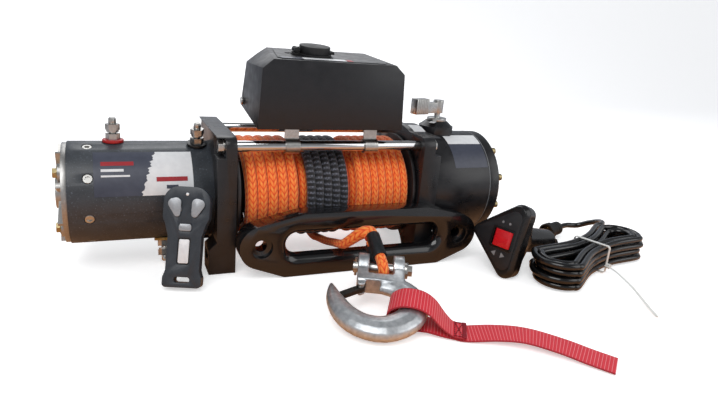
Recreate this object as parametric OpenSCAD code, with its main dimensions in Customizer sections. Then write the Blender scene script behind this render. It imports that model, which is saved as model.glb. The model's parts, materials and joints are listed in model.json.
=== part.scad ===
/*
 Electric recovery winch with its fairlead, rope end, hook and two remotes.
 X runs along the drum from the motor to the gearbox, Y to the rear, Z up.
 The origin is the centre of the four base bolts, on the mounting face.
*/

/* [Frame] */
// Distance between the inner faces of the two brackets
bracket_gap = 229.5; // [222:0.5:240]
// Height of the drum axis above the mounting face
axis_h = 81; // [79:0.5:86]
// Depth of a bracket, front face to rear face
bracket_depth = 144; // [142:1:152]
// Thickness of the motor bracket above its feet
motor_bracket_t = 21; // [20:0.5:25]
// Thickness of the gear bracket above its feet
gear_bracket_t = 25; // [22:0.5:27]
// Thickness of a bracket foot
foot_t = 30; // [29:0.5:34]
// Height of the thick part of a foot
foot_h = 29; // [27:0.5:32]
// Distance of the base bolts from the bracket's inner face
bolt_inset = 12.25; // [11.5:0.25:13.5]
// Front-to-rear spacing of the base bolts
bolt_spacing_y = 114.3; // [112:0.1:116]
// Radius of a base bolt hole
bolt_hole_r = 5.25; // [4.5:0.25:5.75]
// Distance of a tie rod in front of or behind the axis
rod_y = 56.5; // [55:0.5:58]
// Height of the tie rods above the axis
rod_rise = 63; // [62:0.5:66]
// Radius of a tie rod
rod_r = 6.3; // [5.5:0.1:7]

/* [Drum and rope] */
// Radius of a drum flange
flange_r = 66; // [65:0.5:68]
// Thickness of a drum flange
flange_t = 5; // [4:0.5:6]
// Outer radius of the drum tube
tube_r = 32; // [31:0.5:34]
// Outer radius of the wound rope
wound_r = 63; // [61:0.5:64]
// Radius of the rope
rope_r = 5; // [4.5:0.25:5.5]
// Turns of bare rope next to the motor
turns_motor = 5; // [4:1:5]
// Turns covered by the black sleeve
turns_sleeve = 5; // [4:1:5]
// Turns of bare rope next to the gearbox
turns_gear = 7; // [6:1:7]

/* [Motor] */
// Radius of the motor can
motor_r = 56; // [54:0.5:57]
// Length of the motor can
motor_l = 146.8; // [135:0.2:155]
// Wall of the motor can
motor_wall = 5; // [4:0.5:6]
// Length of the end cap behind the can
end_cap_l = 13; // [11:0.5:16]
// Radius of the armature
armature_r = 34; // [32:0.5:36]
// Radius of a terminal stud
stud_r = 4; // [3.5:0.25:4.5]
// Length of a terminal stud outside the can
stud_l = 27; // [25:0.5:30]

/* [Gearbox] */
// Radius of the gearbox
gearbox_r = 70; // [69:0.5:72]
// Length of the gearbox housing
gearbox_l = 83.5; // [80:0.5:90]
// Length of the gearbox cover
gearbox_cover_l = 17.5; // [15:0.5:20]
// Size of the gear teeth, pitch diameter over tooth count
gear_module = 1.8; // [1.7:0.05:1.85]
// Width of the gears
gear_w = 18; // [15:0.5:19]
// Height of the clutch housing above the gearbox
clutch_h = 15; // [14:0.5:18]
// Length of the clutch lever from its axis
lever_l = 45; // [40:0.5:48]

/* [Control box] */
// Width of the control box
box_w = 174; // [168:1:180]
// Depth of the control box at its foot
box_d = 92; // [88:1:96]
// Height of the control box at its rear edge
box_h = 82; // [78:1:88]
// Wall of the control box cover
box_wall = 3; // [2.5:0.5:4]
// Radius of the remote socket on the control box
socket_r = 19; // [17:0.5:21]

/* [Fairlead] */
// Spacing of the two fairlead bolts
fairlead_spacing = 254; // [250:1:256]
// Height of the fairlead
fairlead_h = 75; // [74:0.5:80]
// Thickness of the fairlead
fairlead_t = 24; // [22:0.5:26]
// Height of the rope slot
slot_h = 26; // [24:0.5:28]
// Length of the rope slot
slot_l = 196; // [190:1:198]

/* [Hook] */
// Length of the hook from its pin to the bottom of the bowl
hook_l = 114; // [110:0.5:118]
// Radius of the clevis pin
pin_r = 6.5; // [6:0.25:7]
// Gap between the ears of the clevis
ear_gap = 26; // [24:0.5:28]
// Thickness of an ear of the clevis
ear_t = 12; // [10:0.5:13]
// Width of the pull strap
strap_w = 32; // [28:1:34]
// Thickness of the pull strap
strap_t = 1.6; // [1.4:0.1:1.7]

/* [Remotes] */
// Length of the wireless remote
pocket_l = 106; // [100:1:110]
// Width of the head of the wireless remote
pocket_w = 48; // [46:0.5:50]
// Thickness of the wireless remote
pocket_t = 15; // [14:0.5:17]
// Length of the wired remote from its face to the end of its grip
wired_l = 122; // [116:1:126]
// Height of the face of the wired remote
wired_h = 94; // [90:1:96]
// Radius of the grip of the wired remote
grip_r = 16.5; // [15:0.5:17]
// Radius of the remote's cable
cable_r = 4; // [3.5:0.1:4.1]
// Layers in the hank of cable, two loops in each
hank_layers = 4; // [2:2:4]

/* [Hidden] */
$fn = 64;

// One overrun for every cut, the gap between resting curved faces, and running clearances
over = 1;
rest_gap = 0.3;
run_gap = 0.08;
part_gap = 0.4;

// Colours of the finishes
paint_black = [0.12, 0.12, 0.13];
can_grey = [0.25, 0.27, 0.30];
zinc = [0.75, 0.75, 0.74];
chrome_bright = [0.85, 0.86, 0.88];
rope_orange = [0.95, 0.42, 0.08];
sleeve_black = [0.13, 0.13, 0.16];
rubber_black = [0.08, 0.08, 0.08];
signal_red = [0.80, 0.12, 0.12];
gear_steel = [0.60, 0.61, 0.63];
copper = [0.75, 0.42, 0.25];
strap_red = [0.80, 0.10, 0.16];
case_grey = [0.22, 0.24, 0.26];

// The plane of a cross-section of the winch: drawn in Y and Z, it grows towards +X
module across(x0) translate([x0, 0, 0]) rotate([90, 0, 90]) children();

// The same plane, with its origin on the drum axis
module axial(x0) translate([x0, 0, axis_h]) rotate([90, 0, 90]) children();

// A plane parallel to the front: drawn in X and Z, it grows towards the front, -Y
module facing_front(y0) translate([0, y0, 0]) rotate([90, 0, 0]) children();

module tube(h, r_out, r_in) difference() {
    cylinder(h = h, r = r_out);
    translate([0, 0, -over]) cylinder(h = h + 2 * over, r = r_in);
}

// A hexagon by the distance across its flats
module hexagon(flats) circle(r = flats / 2 / cos(30), $fn = 6);

// Points of a ring of six to twelve sides, as an ellipse in the plane of side and up
function ring(at, side, up, half_side, half_up, sides) = [
    for (k = [0 : sides - 1])
        at + side * half_side * cos(360 * k / sides) + up * half_up * sin(360 * k / sides)
];

// A closed tube through rings with the same number of points
module swept(rings) {
    sides = len(rings[0]);
    last = len(rings) - 1;
    polyhedron(
        points = [for (r = rings) each r],
        faces = concat(
            [[for (k = [sides - 1 : -1 : 0]) k]],
            [for (n = [0 : last - 1]) for (k = [0 : sides - 1]) each [
                [n * sides + k, n * sides + (k + 1) % sides, (n + 1) * sides + k],
                [(n + 1) * sides + k, n * sides + (k + 1) % sides,
                 (n + 1) * sides + (k + 1) % sides]
            ]],
            [[for (k = [0 : sides - 1]) last * sides + k]]
        ),
        convexity = 10
    );
}

function unit(v) = v / norm(v);
// Direction of a route at point n
function heading(route, n) =
    unit(route[min(n + 1, len(route) - 1)] - route[max(n - 1, 0)]);
// A smooth curve through the points of a route, cut into steps between two points
function between(a, b, c, d, t) =
    0.5 * (2 * b + (c - a) * t + (2 * a - 5 * b + 4 * c - d) * t * t
    + (3 * b - a - 3 * c + d) * t * t * t);
function smooth(route, steps) = [
    for (n = [0 : len(route) - 2]) for (s = [0 : steps - 1])
        between(route[max(n - 1, 0)], route[n], route[n + 1],
            route[min(n + 2, len(route) - 1)], s / steps),
    route[len(route) - 1]
];
// Rings of a round cord along a route, with a radius for each point
function cord_rings(route, radii, sides, level) = [
    for (n = [0 : len(route) - 1])
        let (along = heading(route, n), side = unit(cross(along, level)),
             up = cross(side, along))
            ring(route[n], side, up, radii[n], radii[n], sides)
];

// Brackets

inner_x = bracket_gap / 2;
half_depth = bracket_depth / 2;
rod_z = axis_h + rod_rise;
corner_r = 12;
dome_r = 80;
arch_r = 44;
arch_drop = 15;
foot_inner_y = 42;
bush_wall = 6;
hub_r = 28;
bush_r = hub_r + run_gap + bush_wall;
rod_bolt_r = 4;
rod_bolt_clear = 0.3;
rod_bolt_deep = 16;
rod_bolt_head = 13;
rod_bolt_head_t = 5.5;
rod_washer_r = 8;
rod_washer_t = 1.5;
pocket_deep = 9;
pocket_half = 10.5;
base_nut = 17.6;
base_nut_t = 9;
base_nut_z = 15;
bolt_y = bolt_spacing_y / 2;

// The gear side has a dome over the drum between its shoulders, and the motor side is level
module bracket_outline(domed) difference() {
    union() {
        translate([-half_depth, 0]) square([bracket_depth, rod_z]);
        translate([-half_depth + corner_r, 0])
            square([bracket_depth - 2 * corner_r, rod_z + corner_r]);
        for (s = [-1, 1]) translate([s * (half_depth - corner_r), rod_z]) circle(r = corner_r);
        if (domed) intersection() {
            translate([0, axis_h]) circle(r = dome_r);
            translate([-half_depth, 0]) square([bracket_depth, axis_h + dome_r]);
        }
    }
    translate([0, -arch_drop]) circle(r = arch_r);
    translate([0, axis_h]) circle(r = bush_r + run_gap);
    for (s = [-1, 1]) translate([s * rod_y, rod_z]) circle(r = rod_bolt_r + rod_bolt_clear);
}

// A bracket with its inner face at x = 0, growing towards +X
module bracket(thick, domed) difference() {
    union() {
        across(0) linear_extrude(thick) bracket_outline(domed);
        for (s = [-1, 1]) intersection() {
            facing_front(s > 0 ? half_depth : -foot_inner_y)
                linear_extrude(half_depth - foot_inner_y)
                    polygon([
                        [0, 0], [foot_t, 0], [foot_t, foot_h],
                        [thick, foot_h + foot_t - thick], [0, foot_h + foot_t - thick]
                    ]);
            across(0) linear_extrude(foot_t) bracket_outline(domed);
        }
    }
    for (s = [-1, 1]) {
        translate([bolt_inset, s * bolt_y, -over])
            cylinder(h = base_nut_z + base_nut_t, r = bolt_hole_r);
        translate([bolt_inset - base_nut / 2, s * bolt_y - base_nut / 2, base_nut_z])
            cube([foot_t, base_nut, base_nut_t]);
        translate([
            thick - pocket_deep,
            s > 0 ? rod_y - pocket_half : -half_depth - over,
            rod_z - pocket_half
        ])
            cube([foot_t, half_depth - rod_y + pocket_half + over, 2 * pocket_half]);
    }
}

module motor_bracket() color(paint_black)
    mirror([1, 0, 0]) translate([inner_x, 0, 0]) bracket(motor_bracket_t, false);

// The feet on the gear side reach under the gearbox and are hollowed to clear it
module gear_bracket() color(paint_black) difference() {
    translate([inner_x, 0, 0]) bracket(gear_bracket_t, true);
    axial(gear_x) cylinder(h = foot_t, r = gearbox_r + rest_gap);
}

module at_rods() for (s = [-1, 1]) translate([0, s * rod_y, rod_z]) children();

module tie_rods() color(chrome_bright) at_rods() rotate([0, 90, 0]) difference() {
    translate([0, 0, -inner_x]) cylinder(h = bracket_gap, r = rod_r);
    for (s = [-1, 1]) translate([0, 0, s * inner_x])
        cylinder(h = 2 * rod_bolt_deep, r = rod_bolt_r + run_gap, center = true);
}

// A tie rod bolt with the face of its washer at z = 0 and its shank along -Z
module rod_bolt(grip) {
    cylinder(h = rod_washer_t, r = rod_washer_r);
    translate([0, 0, rod_washer_t]) linear_extrude(rod_bolt_head_t) hexagon(rod_bolt_head);
    translate([0, 0, -grip]) cylinder(h = grip + rod_washer_t, r = rod_bolt_r);
}

module tie_rod_bolts() color(zinc) at_rods() {
    translate([inner_x + gear_bracket_t - pocket_deep, 0, 0]) rotate([0, 90, 0])
        rod_bolt(gear_bracket_t - pocket_deep + rod_bolt_deep - over);
    translate([-inner_x - motor_bracket_t + pocket_deep, 0, 0]) rotate([0, -90, 0])
        rod_bolt(motor_bracket_t - pocket_deep + rod_bolt_deep - over);
}

// Drum, its bushes, the drive shaft and the brake inside it

drum_side_gap = 1.25;
drum_half = inner_x - drum_side_gap;
tube_wall = 9;
shaft_r = 5.5;
hub_end_gap = 2;
carrier_gap = 6.25;
motor_hub_x = -inner_x - motor_bracket_t + hub_end_gap;
gear_hub_x = inner_x + gear_bracket_t + carrier_gap;
brake_l = 110;
flange_edge = 1.5;

module drum() color(gear_steel) axial(0) rotate_extrude() polygon([
    [tube_r - tube_wall, motor_hub_x], [hub_r, motor_hub_x], [hub_r, -drum_half],
    [flange_r - flange_edge, -drum_half], [flange_r, -drum_half + flange_edge],
    [flange_r, -drum_half + flange_t], [tube_r, -drum_half + flange_t],
    [tube_r, drum_half - flange_t], [flange_r, drum_half - flange_t],
    [flange_r, drum_half - flange_edge], [flange_r - flange_edge, drum_half],
    [hub_r, drum_half], [hub_r, gear_hub_x], [shaft_r + part_gap, gear_hub_x],
    [shaft_r + part_gap, gear_hub_x - carrier_gap],
    [tube_r - tube_wall, gear_hub_x - carrier_gap]
]);

module drum_bushes() color([0.85, 0.82, 0.70]) {
    axial(inner_x) tube(gear_bracket_t, bush_r, hub_r + run_gap);
    axial(-inner_x - motor_bracket_t) tube(motor_bracket_t, bush_r, hub_r + run_gap);
}

module brake_core() color([0.55, 0.45, 0.35]) axial(-brake_l / 2)
    tube(brake_l, tube_r - tube_wall - rest_gap, shaft_r + part_gap);

shaft_start = -inner_x - motor_bracket_t - motor_wall - over;
coupler_r = 10;
coupler_l = 14;

module drive_shaft() color(gear_steel) {
    axial(shaft_start) cylinder(h = unit_x + unit_sleeve - shaft_start, r = shaft_r);
    axial(shaft_start - coupler_l) linear_extrude(coupler_l) hexagon(2 * coupler_r);
}

// Wound rope: the outer layer over a plain core

layer_from = -drum_half + flange_t + part_gap;
layer_l = 2 * (drum_half - flange_t - part_gap);
// Shares of the layer's length that the three parts of the winding take
motor_share = 0.335;
sleeve_share = 0.290;
gear_share = 1 - motor_share - sleeve_share;
turn_gap = 1.1;
rings_per_turn = 24;
wound_sides = 6;
core_gap = 1.4;
start_angle = -60;
layer_r = wound_r - rope_r;

function turn_rings(x0, length, turns, angle0) = [
    for (n = [0 : turns * rings_per_turn])
        let (
            a = angle0 + 360 * n / rings_per_turn,
            pitch = length / (turns + 1),
            x = x0 + pitch / 2 + pitch * n / rings_per_turn,
            out = [0, cos(a), sin(a)]
        )
            ring([x, 0, axis_h] + out * layer_r, out, [1, 0, 0], rope_r,
                (pitch - turn_gap) / 2 / sin(60), wound_sides)
];
// The least gap between each turn and the next, on the points of the tube
function turn_least(rings) = min([
    for (n = [0 : 4 : len(rings) - 1 - rings_per_turn])
        for (p = rings[n]) for (q = rings[n + rings_per_turn]) norm(p - q)
]);

motor_turn_rings = turn_rings(layer_from, layer_l * motor_share, turns_motor, start_angle);
sleeve_turn_rings = turn_rings(layer_from + layer_l * motor_share, layer_l * sleeve_share,
    turns_sleeve, start_angle);
gear_turn_rings = turn_rings(layer_from + layer_l * (motor_share + sleeve_share),
    layer_l * gear_share, turns_gear, start_angle);
echo(gap_rope_turns_motor_side = turn_least(motor_turn_rings));
echo(gap_rope_sleeve_turns = turn_least(sleeve_turn_rings));
echo(gap_rope_turns_gear_side = turn_least(gear_turn_rings));

module rope_core() color(rope_orange) axial(layer_from)
    tube(layer_l, layer_r - rope_r - core_gap, tube_r + rest_gap);
module rope_turns_motor_side() color(rope_orange) swept(motor_turn_rings);
module rope_sleeve_turns() color(sleeve_black) swept(sleeve_turn_rings);
module rope_turns_gear_side() color(rope_orange) swept(gear_turn_rings);

// Motor

motor_x = -inner_x - motor_bracket_t;
can_rear = motor_x - motor_l;
spigot_l = 26;
spigot_t = 6;
can_screw_back = 20;
can_screws_n = 8;
can_screw_turn = 15;
can_screw_head_r = 5;
can_screw_r = 2.5;
pole_turn = 41;
pole_half_angle = 20;
pole_t = 13;
pole_l = 75;
pole_x = motor_x - 100;
brush_t = 8;
brush_bore = 20;
brush_x = can_rear + spigot_l + part_gap;
// Terminals: distance behind the motor bracket and angle round the can
terminals = [[101, 90], [13.5, 102], [51, 250]];
insulator_r = 11;
insulator_t = 3;
insulator_spigot = 6;
nut_flats = 13;
nut_t = 6.5;
top_nut_gap = 4;
stud_inside = 3;

// On the can's surface at a terminal, with Z pointing outwards
module at_terminal(t) translate([motor_x - t[0], 0, axis_h])
    rotate([t[1] - 90, 0, 0]) translate([0, 0, motor_r]) children();

module at_can_screws() for (n = [0 : can_screws_n - 1])
    translate([can_rear + can_screw_back, 0, axis_h])
        rotate([can_screw_turn + n * 360 / can_screws_n, 0, 0])
            translate([0, 0, motor_r]) children();

module motor_can() color(can_grey) difference() {
    axial(can_rear) cylinder(h = motor_l, r = motor_r);
    axial(can_rear - over) cylinder(h = motor_l - motor_wall + over, r = motor_r - motor_wall);
    axial(can_rear) cylinder(h = motor_l + over, r = shaft_r + run_gap);
    for (t = terminals) at_terminal(t)
        cylinder(h = 3 * motor_wall, r = insulator_spigot + part_gap, center = true);
    at_can_screws() {
        cylinder(h = 3 * motor_wall, r = can_screw_r + part_gap, center = true);
        translate([0, 0, -motor_wall / 2]) cylinder(h = motor_wall, r = can_screw_head_r + part_gap);
    }
}

cap_plate = 5;
cap_lip = 1.5;
cap_boss_r = 17;
cap_ribs = 8;
cap_rib_t = 3;
cap_bolts = 4;
cap_bolt_ring = 42;
cap_bolt_r = 3;
cap_bolt_head = 10;
cap_bolt_head_t = 5;
rear_journal = 6;

module at_cap_bolts() for (n = [0 : cap_bolts - 1]) rotate([0, 0, (n + 0.5) * 360 / cap_bolts])
    translate([cap_bolt_ring, 0, 0]) children();

// Cast end cap, with its outer face towards -X
module motor_end_cap() color(zinc) axial(can_rear) difference() {
    union() {
        translate([0, 0, -cap_plate]) cylinder(h = cap_plate, r = motor_r - cap_lip);
        tube(spigot_l, motor_r - motor_wall - run_gap, motor_r - motor_wall - spigot_t);
        translate([0, 0, -end_cap_l]) cylinder(h = end_cap_l, r = cap_boss_r);
        translate([0, 0, -end_cap_l + cap_rib_t]) intersection() {
            cylinder(h = end_cap_l - cap_rib_t, r = motor_r - 2 * cap_lip);
            for (n = [0 : cap_ribs / 2 - 1]) rotate([0, 0, (n + 0.5) * 360 / cap_ribs])
                translate([-motor_r, -cap_rib_t / 2, 0]) cube([2 * motor_r, cap_rib_t, end_cap_l]);
        }
        at_cap_bolts() translate([0, 0, -cap_plate - cap_rib_t])
            cylinder(h = cap_plate, r = cap_bolt_head);
    }
    translate([0, 0, -end_cap_l + cap_rib_t]) cylinder(h = 2 * end_cap_l, r = rear_journal + run_gap);
    at_cap_bolts() translate([0, 0, -end_cap_l - over])
        cylinder(h = 2 * end_cap_l, r = cap_bolt_r + part_gap);
    translate([0, 0, can_screw_back]) for (n = [0 : can_screws_n - 1])
        rotate([0, 0, can_screw_turn + 90 + n * 360 / can_screws_n]) rotate([0, 90, 0])
            cylinder(h = motor_r, r = can_screw_r + run_gap);
}

module end_cap_bolts() color([0.62, 0.55, 0.42]) axial(can_rear) at_cap_bolts() {
    translate([0, 0, -cap_plate - cap_rib_t - cap_bolt_head_t])
        linear_extrude(cap_bolt_head_t) hexagon(cap_bolt_head);
    translate([0, 0, -cap_plate - cap_rib_t]) cylinder(h = 2 * cap_plate + spigot_t, r = cap_bolt_r);
}

module can_screws() color(zinc) at_can_screws() difference() {
    union() {
        translate([0, 0, -motor_wall / 2]) cylinder(h = motor_wall / 2 - part_gap, r = can_screw_head_r);
        translate([0, 0, -motor_wall - spigot_t]) cylinder(h = motor_wall + spigot_t / 2, r = can_screw_r);
    }
    translate([0, 0, -2 * part_gap - over / 2])
        linear_extrude(motor_wall) hexagon(can_screw_head_r);
}

// Four magnets on the inside of the can
module field_poles() color([0.20, 0.20, 0.22]) axial(pole_x) for (n = [0 : 3])
    rotate([0, 0, pole_turn + n * 90]) intersection() {
        tube(pole_l, motor_r - motor_wall - rest_gap, motor_r - motor_wall - pole_t);
        linear_extrude(pole_l) polygon([
            [0, 0],
            [2 * motor_r * cos(pole_half_angle), -2 * motor_r * sin(pole_half_angle)],
            [2 * motor_r * cos(pole_half_angle), 2 * motor_r * sin(pole_half_angle)]
        ]);
    }

armature_l = pole_l;
armature_slots = 16;
slot_w = 3;
commutator_r = 19;
socket_r_out = 15;
socket_gap = 0.2;
armature_front = shaft_start - coupler_l - over;

module armature() color(copper) axial(0) difference() {
    rotate_extrude() polygon([
        [0, can_rear - cap_plate], [rear_journal, can_rear - cap_plate],
        [rear_journal, brush_x], [commutator_r, brush_x],
        [commutator_r, pole_x - over], [rear_journal * 2, pole_x - over],
        [rear_journal * 2, pole_x], [armature_r, pole_x],
        [armature_r, pole_x + armature_l], [socket_r_out, pole_x + armature_l],
        [socket_r_out, armature_front + coupler_l - over], [0, armature_front + coupler_l - over]
    ]);
    translate([0, 0, armature_front]) linear_extrude(2 * coupler_l)
        hexagon(2 * coupler_r + 2 * socket_gap);
    for (n = [0 : armature_slots - 1]) rotate([0, 0, n * 360 / armature_slots])
        translate([armature_r - slot_w, -slot_w / 4, pole_x - over])
            cube([2 * slot_w, slot_w / 2, armature_l + 2 * over]);
}

module brush_ring() color([0.30, 0.22, 0.16]) axial(brush_x) difference() {
    cylinder(h = brush_t, r = motor_r - motor_wall - rest_gap);
    translate([0, 0, -over]) cylinder(h = brush_t + 2 * over, r = brush_bore);
}

module insulator(t) at_terminal(t) difference() {
    union() {
        intersection() {
            translate([0, 0, -motor_wall / 2]) cylinder(h = motor_wall / 2 + insulator_t, r = insulator_r);
            translate([-insulator_r, -insulator_r, 0])
                cube([2 * insulator_r, 2 * insulator_r, 2 * insulator_t]);
        }
        translate([0, 0, -motor_wall - stud_inside])
            cylinder(h = motor_wall + stud_inside + over, r = insulator_spigot);
    }
    cylinder(h = 6 * motor_wall, r = stud_r + run_gap, center = true);
}

module terminal_insulators() {
    color(signal_red) insulator(terminals[0]);
    color(rubber_black) insulator(terminals[1]);
    color(copper) insulator(terminals[2]);
}

// The stud is a little thinner under its nuts than at its free end
stud_relief = 0.3;
stud_nuts_top = insulator_t + 2 * nut_t + top_nut_gap;

module terminal_studs() color(zinc) for (t = terminals) at_terminal(t) {
    translate([0, 0, -motor_wall - stud_inside]) {
        cylinder(h = motor_wall + stud_inside + stud_nuts_top + rest_gap, r = stud_r - stud_relief);
        cylinder(h = motor_wall + stud_inside + stud_l, r = stud_r - over);
    }
    translate([0, 0, stud_nuts_top + rest_gap])
        cylinder(h = stud_l - stud_nuts_top - rest_gap - over, r = stud_r);
}

module terminal_nuts() color(zinc) for (t = terminals) at_terminal(t) {
    translate([0, 0, insulator_t]) difference() {
        linear_extrude(nut_t) hexagon(nut_flats);
        translate([0, 0, -over]) cylinder(h = nut_t + 2 * over, r = stud_r + run_gap);
    }
    translate([0, 0, insulator_t + nut_t + top_nut_gap]) difference() {
        union() {
            linear_extrude(nut_t) hexagon(nut_flats);
            translate([0, 0, -top_nut_gap / 2]) cylinder(h = top_nut_gap, r = nut_flats / 2);
        }
        translate([0, 0, -top_nut_gap]) cylinder(h = nut_t + 2 * top_nut_gap, r = stud_r + run_gap);
    }
}

// Gears: the outline of an external wheel, or of the cutter of an internal one

pressure_angle = 20;
addendum = 0.8 * gear_module;
dedendum = 1.2 * gear_module;
backlash = 0.25;
sun_teeth = 12;
planet_teeth = 24;
ring_teeth = sun_teeth + 2 * planet_teeth;
degrees_per_radian = 180 / PI;

function involute(a) = tan(a) * degrees_per_radian - a;
// Half of the angle that a tooth takes at radius r
function half_tooth(teeth, r, slack) =
    let (pitch_r = teeth * gear_module / 2, base_r = pitch_r * cos(pressure_angle))
        90 / teeth + involute(pressure_angle) - involute(acos(min(1, base_r / r)))
        - slack / (2 * r) * degrees_per_radian;
function flank_radii(teeth, root_r, tip_r) =
    let (base_r = teeth * gear_module / 2 * cos(pressure_angle), low = max(base_r, root_r))
        [root_r, for (s = [0 : 3]) low + (tip_r - low) * s / 3];
function gear_points(teeth, root_r, tip_r, slack) =
    let (radii = flank_radii(teeth, root_r, tip_r)) [
        for (n = [0 : teeth - 1]) let (at = n * 360 / teeth) each concat(
            [for (r = radii) let (a = at - half_tooth(teeth, r, slack)) r * [cos(a), sin(a)]],
            [for (s = [len(radii) - 1 : -1 : 0])
                let (r = radii[s], a = at + half_tooth(teeth, r, slack)) r * [cos(a), sin(a)]]
        )
    ];

sun_r = sun_teeth * gear_module / 2;
planet_r = planet_teeth * gear_module / 2;
ring_r = ring_teeth * gear_module / 2;
planet_ring_r = sun_r + planet_r;

gear_x = inner_x + gear_bracket_t;
housing_face = 4;
carrier_t = 10;
carrier_disc_r = 45;
side_gap = 0.5;
planet_pin_r = 5;
planets_x = gear_hub_x + carrier_t + side_gap;
ring_extra = 4;
ring_wall = 7.3;
ring_out = ring_r + dedendum + ring_wall;
ring_l = gear_w + ring_extra;
unit_x = planets_x + ring_l + side_gap;
unit_sleeve = 25;
notches = 30;
notch_deep = 4;
pin_shank_r = 3.5;
notch_w = 2 * pin_shank_r + 1.6;
clutch_inset = 30.25;
clutch_x = gear_x + clutch_inset;
clutch_pin_rise = 0.8;
housing_seam = gear_x + gearbox_l;
boss_spigot_r = 10;

module gearbox_housing() color(paint_black) difference() {
    axial(gear_x) cylinder(h = gearbox_l, r = gearbox_r);
    axial(gear_x - over) cylinder(h = gearbox_l, r = hub_r + 2 * part_gap);
    axial(gear_x + housing_face) cylinder(h = gearbox_l, r = ring_out - 2 * ring_extra);
    axial(planets_x - part_gap) cylinder(h = gearbox_l, r = ring_out + run_gap);
    translate([clutch_x, 0, axis_h]) cylinder(h = 2 * gearbox_r, r = boss_spigot_r + run_gap);
}

cover_edge = 4;
cover_bolts = 10;
cover_bolt_ring = 62;
cover_bolt_r = 3;
cover_bolt_head_r = 4.6;
cover_bolt_head_t = 5;
cover_bolt_turn = 126;
cover_recess = 3;
cover_recess_r = 48;

module gearbox_cover() color(paint_black) axial(housing_seam) difference() {
    rotate_extrude() polygon([
        [0, 0], [gearbox_r, 0], [gearbox_r, gearbox_cover_l - cover_edge],
        [gearbox_r - cover_edge, gearbox_cover_l], [cover_recess_r, gearbox_cover_l],
        [cover_recess_r - cover_recess, gearbox_cover_l - cover_recess],
        [0, gearbox_cover_l - cover_recess]
    ]);
    at_cover_bolts() translate([0, 0, -over]) cylinder(h = 2 * gearbox_cover_l, r = cover_bolt_r + part_gap);
}

module at_cover_bolts() for (n = [0 : cover_bolts - 1])
    rotate([0, 0, cover_bolt_turn + n * 360 / cover_bolts])
        translate([cover_bolt_ring, 0, 0]) children();

module cover_screws() color([0.62, 0.55, 0.42]) axial(housing_seam) at_cover_bolts() difference() {
    union() {
        cylinder(h = gearbox_cover_l, r = cover_bolt_r);
        translate([0, 0, gearbox_cover_l]) cylinder(h = cover_bolt_head_t, r = cover_bolt_head_r);
    }
    translate([0, 0, gearbox_cover_l + cover_bolt_head_t / 2])
        linear_extrude(cover_bolt_head_t) hexagon(cover_bolt_head_r);
}

module ring_gear() color(gear_steel) axial(planets_x) difference() {
    cylinder(h = ring_l, r = ring_out);
    translate([0, 0, -over]) rotate([0, 0, 180 / ring_teeth]) linear_extrude(ring_l + 2 * over)
        polygon(gear_points(ring_teeth, ring_r - addendum - over / 4, ring_r + dedendum, -backlash));
    translate([0, 0, -over]) cylinder(h = ring_l + 2 * over, r = ring_r - addendum);
    for (n = [0 : notches - 1]) rotate([0, 0, (n + 0.5) * 360 / notches])
        translate([ring_out - notch_deep, -notch_w / 2, -over])
            cube([2 * notch_deep, notch_w, ring_l + 2 * over]);
}

// A planet on its pin, at one of three places round the sun
module planet(turn) axial(planets_x) rotate([0, 0, turn]) translate([planet_ring_r, 0, 0])
    difference() {
        rotate([0, 0, 180 / planet_teeth]) linear_extrude(gear_w)
            polygon(gear_points(planet_teeth, planet_r - dedendum, planet_r + addendum, backlash));
        translate([0, 0, -over]) cylinder(h = gear_w + 2 * over, r = planet_pin_r + run_gap);
    }

module planet_gear_a() color(gear_steel) planet(90);
module planet_gear_b() color(gear_steel) planet(210);
module planet_gear_c() color(gear_steel) planet(330);

module planet_carrier() color([0.45, 0.46, 0.48]) axial(gear_hub_x) difference() {
    union() {
        cylinder(h = carrier_t, r = carrier_disc_r);
        for (turn = [90, 210, 330]) rotate([0, 0, turn]) translate([planet_ring_r, 0, 0])
            cylinder(h = carrier_t + side_gap + gear_w + side_gap, r = planet_pin_r);
    }
    translate([0, 0, -over]) cylinder(h = carrier_t + 2 * over, r = shaft_r + part_gap);
}

// First and second stages as one cartridge, with the sun of the third on its front
module reduction_unit() color(gear_steel) {
    axial(unit_x) difference() {
        cylinder(h = housing_seam - unit_x, r = ring_out - rest_gap);
        translate([0, 0, -over]) cylinder(h = unit_sleeve + 2 * over, r = shaft_r + part_gap);
    }
    axial(planets_x + side_gap) difference() {
        linear_extrude(unit_x - planets_x - side_gap)
            polygon(gear_points(sun_teeth, sun_r - dedendum, sun_r + addendum, backlash));
        translate([0, 0, -over]) cylinder(h = gear_w * 2, r = shaft_r + part_gap);
    }
}

// Clutch: its axis stands on the gearbox at clutch_x

gearbox_top = axis_h + gearbox_r;
boss_foot_r = 23;
boss_top_r = 15;
boss_foot_h = 6;
boss_depth_share = 0.86;
lever_shaft_r = 6;
lever_shaft_deep = 8;
lever_disc_r = 13.2;
lever_disc_t = 4;
lever_neck_r = 4;
lever_neck_h = 7;
lever_hub_r = 7;
lever_hub_h = 17;
paddle_w = 12;
paddle_h = 20;
paddle_l = 22;
arm_w = 9;
arm_h = 14;
lever_turn = 195;
pin_stem_r = 2.4;
boss_top = gearbox_top + clutch_h;
pin_tip = axis_h + ring_out + clutch_pin_rise;
pin_head = boss_top - lever_shaft_deep - part_gap;
knurl = 2.4;

module at_clutch(z) translate([clutch_x, 0, z]) children();

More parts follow.
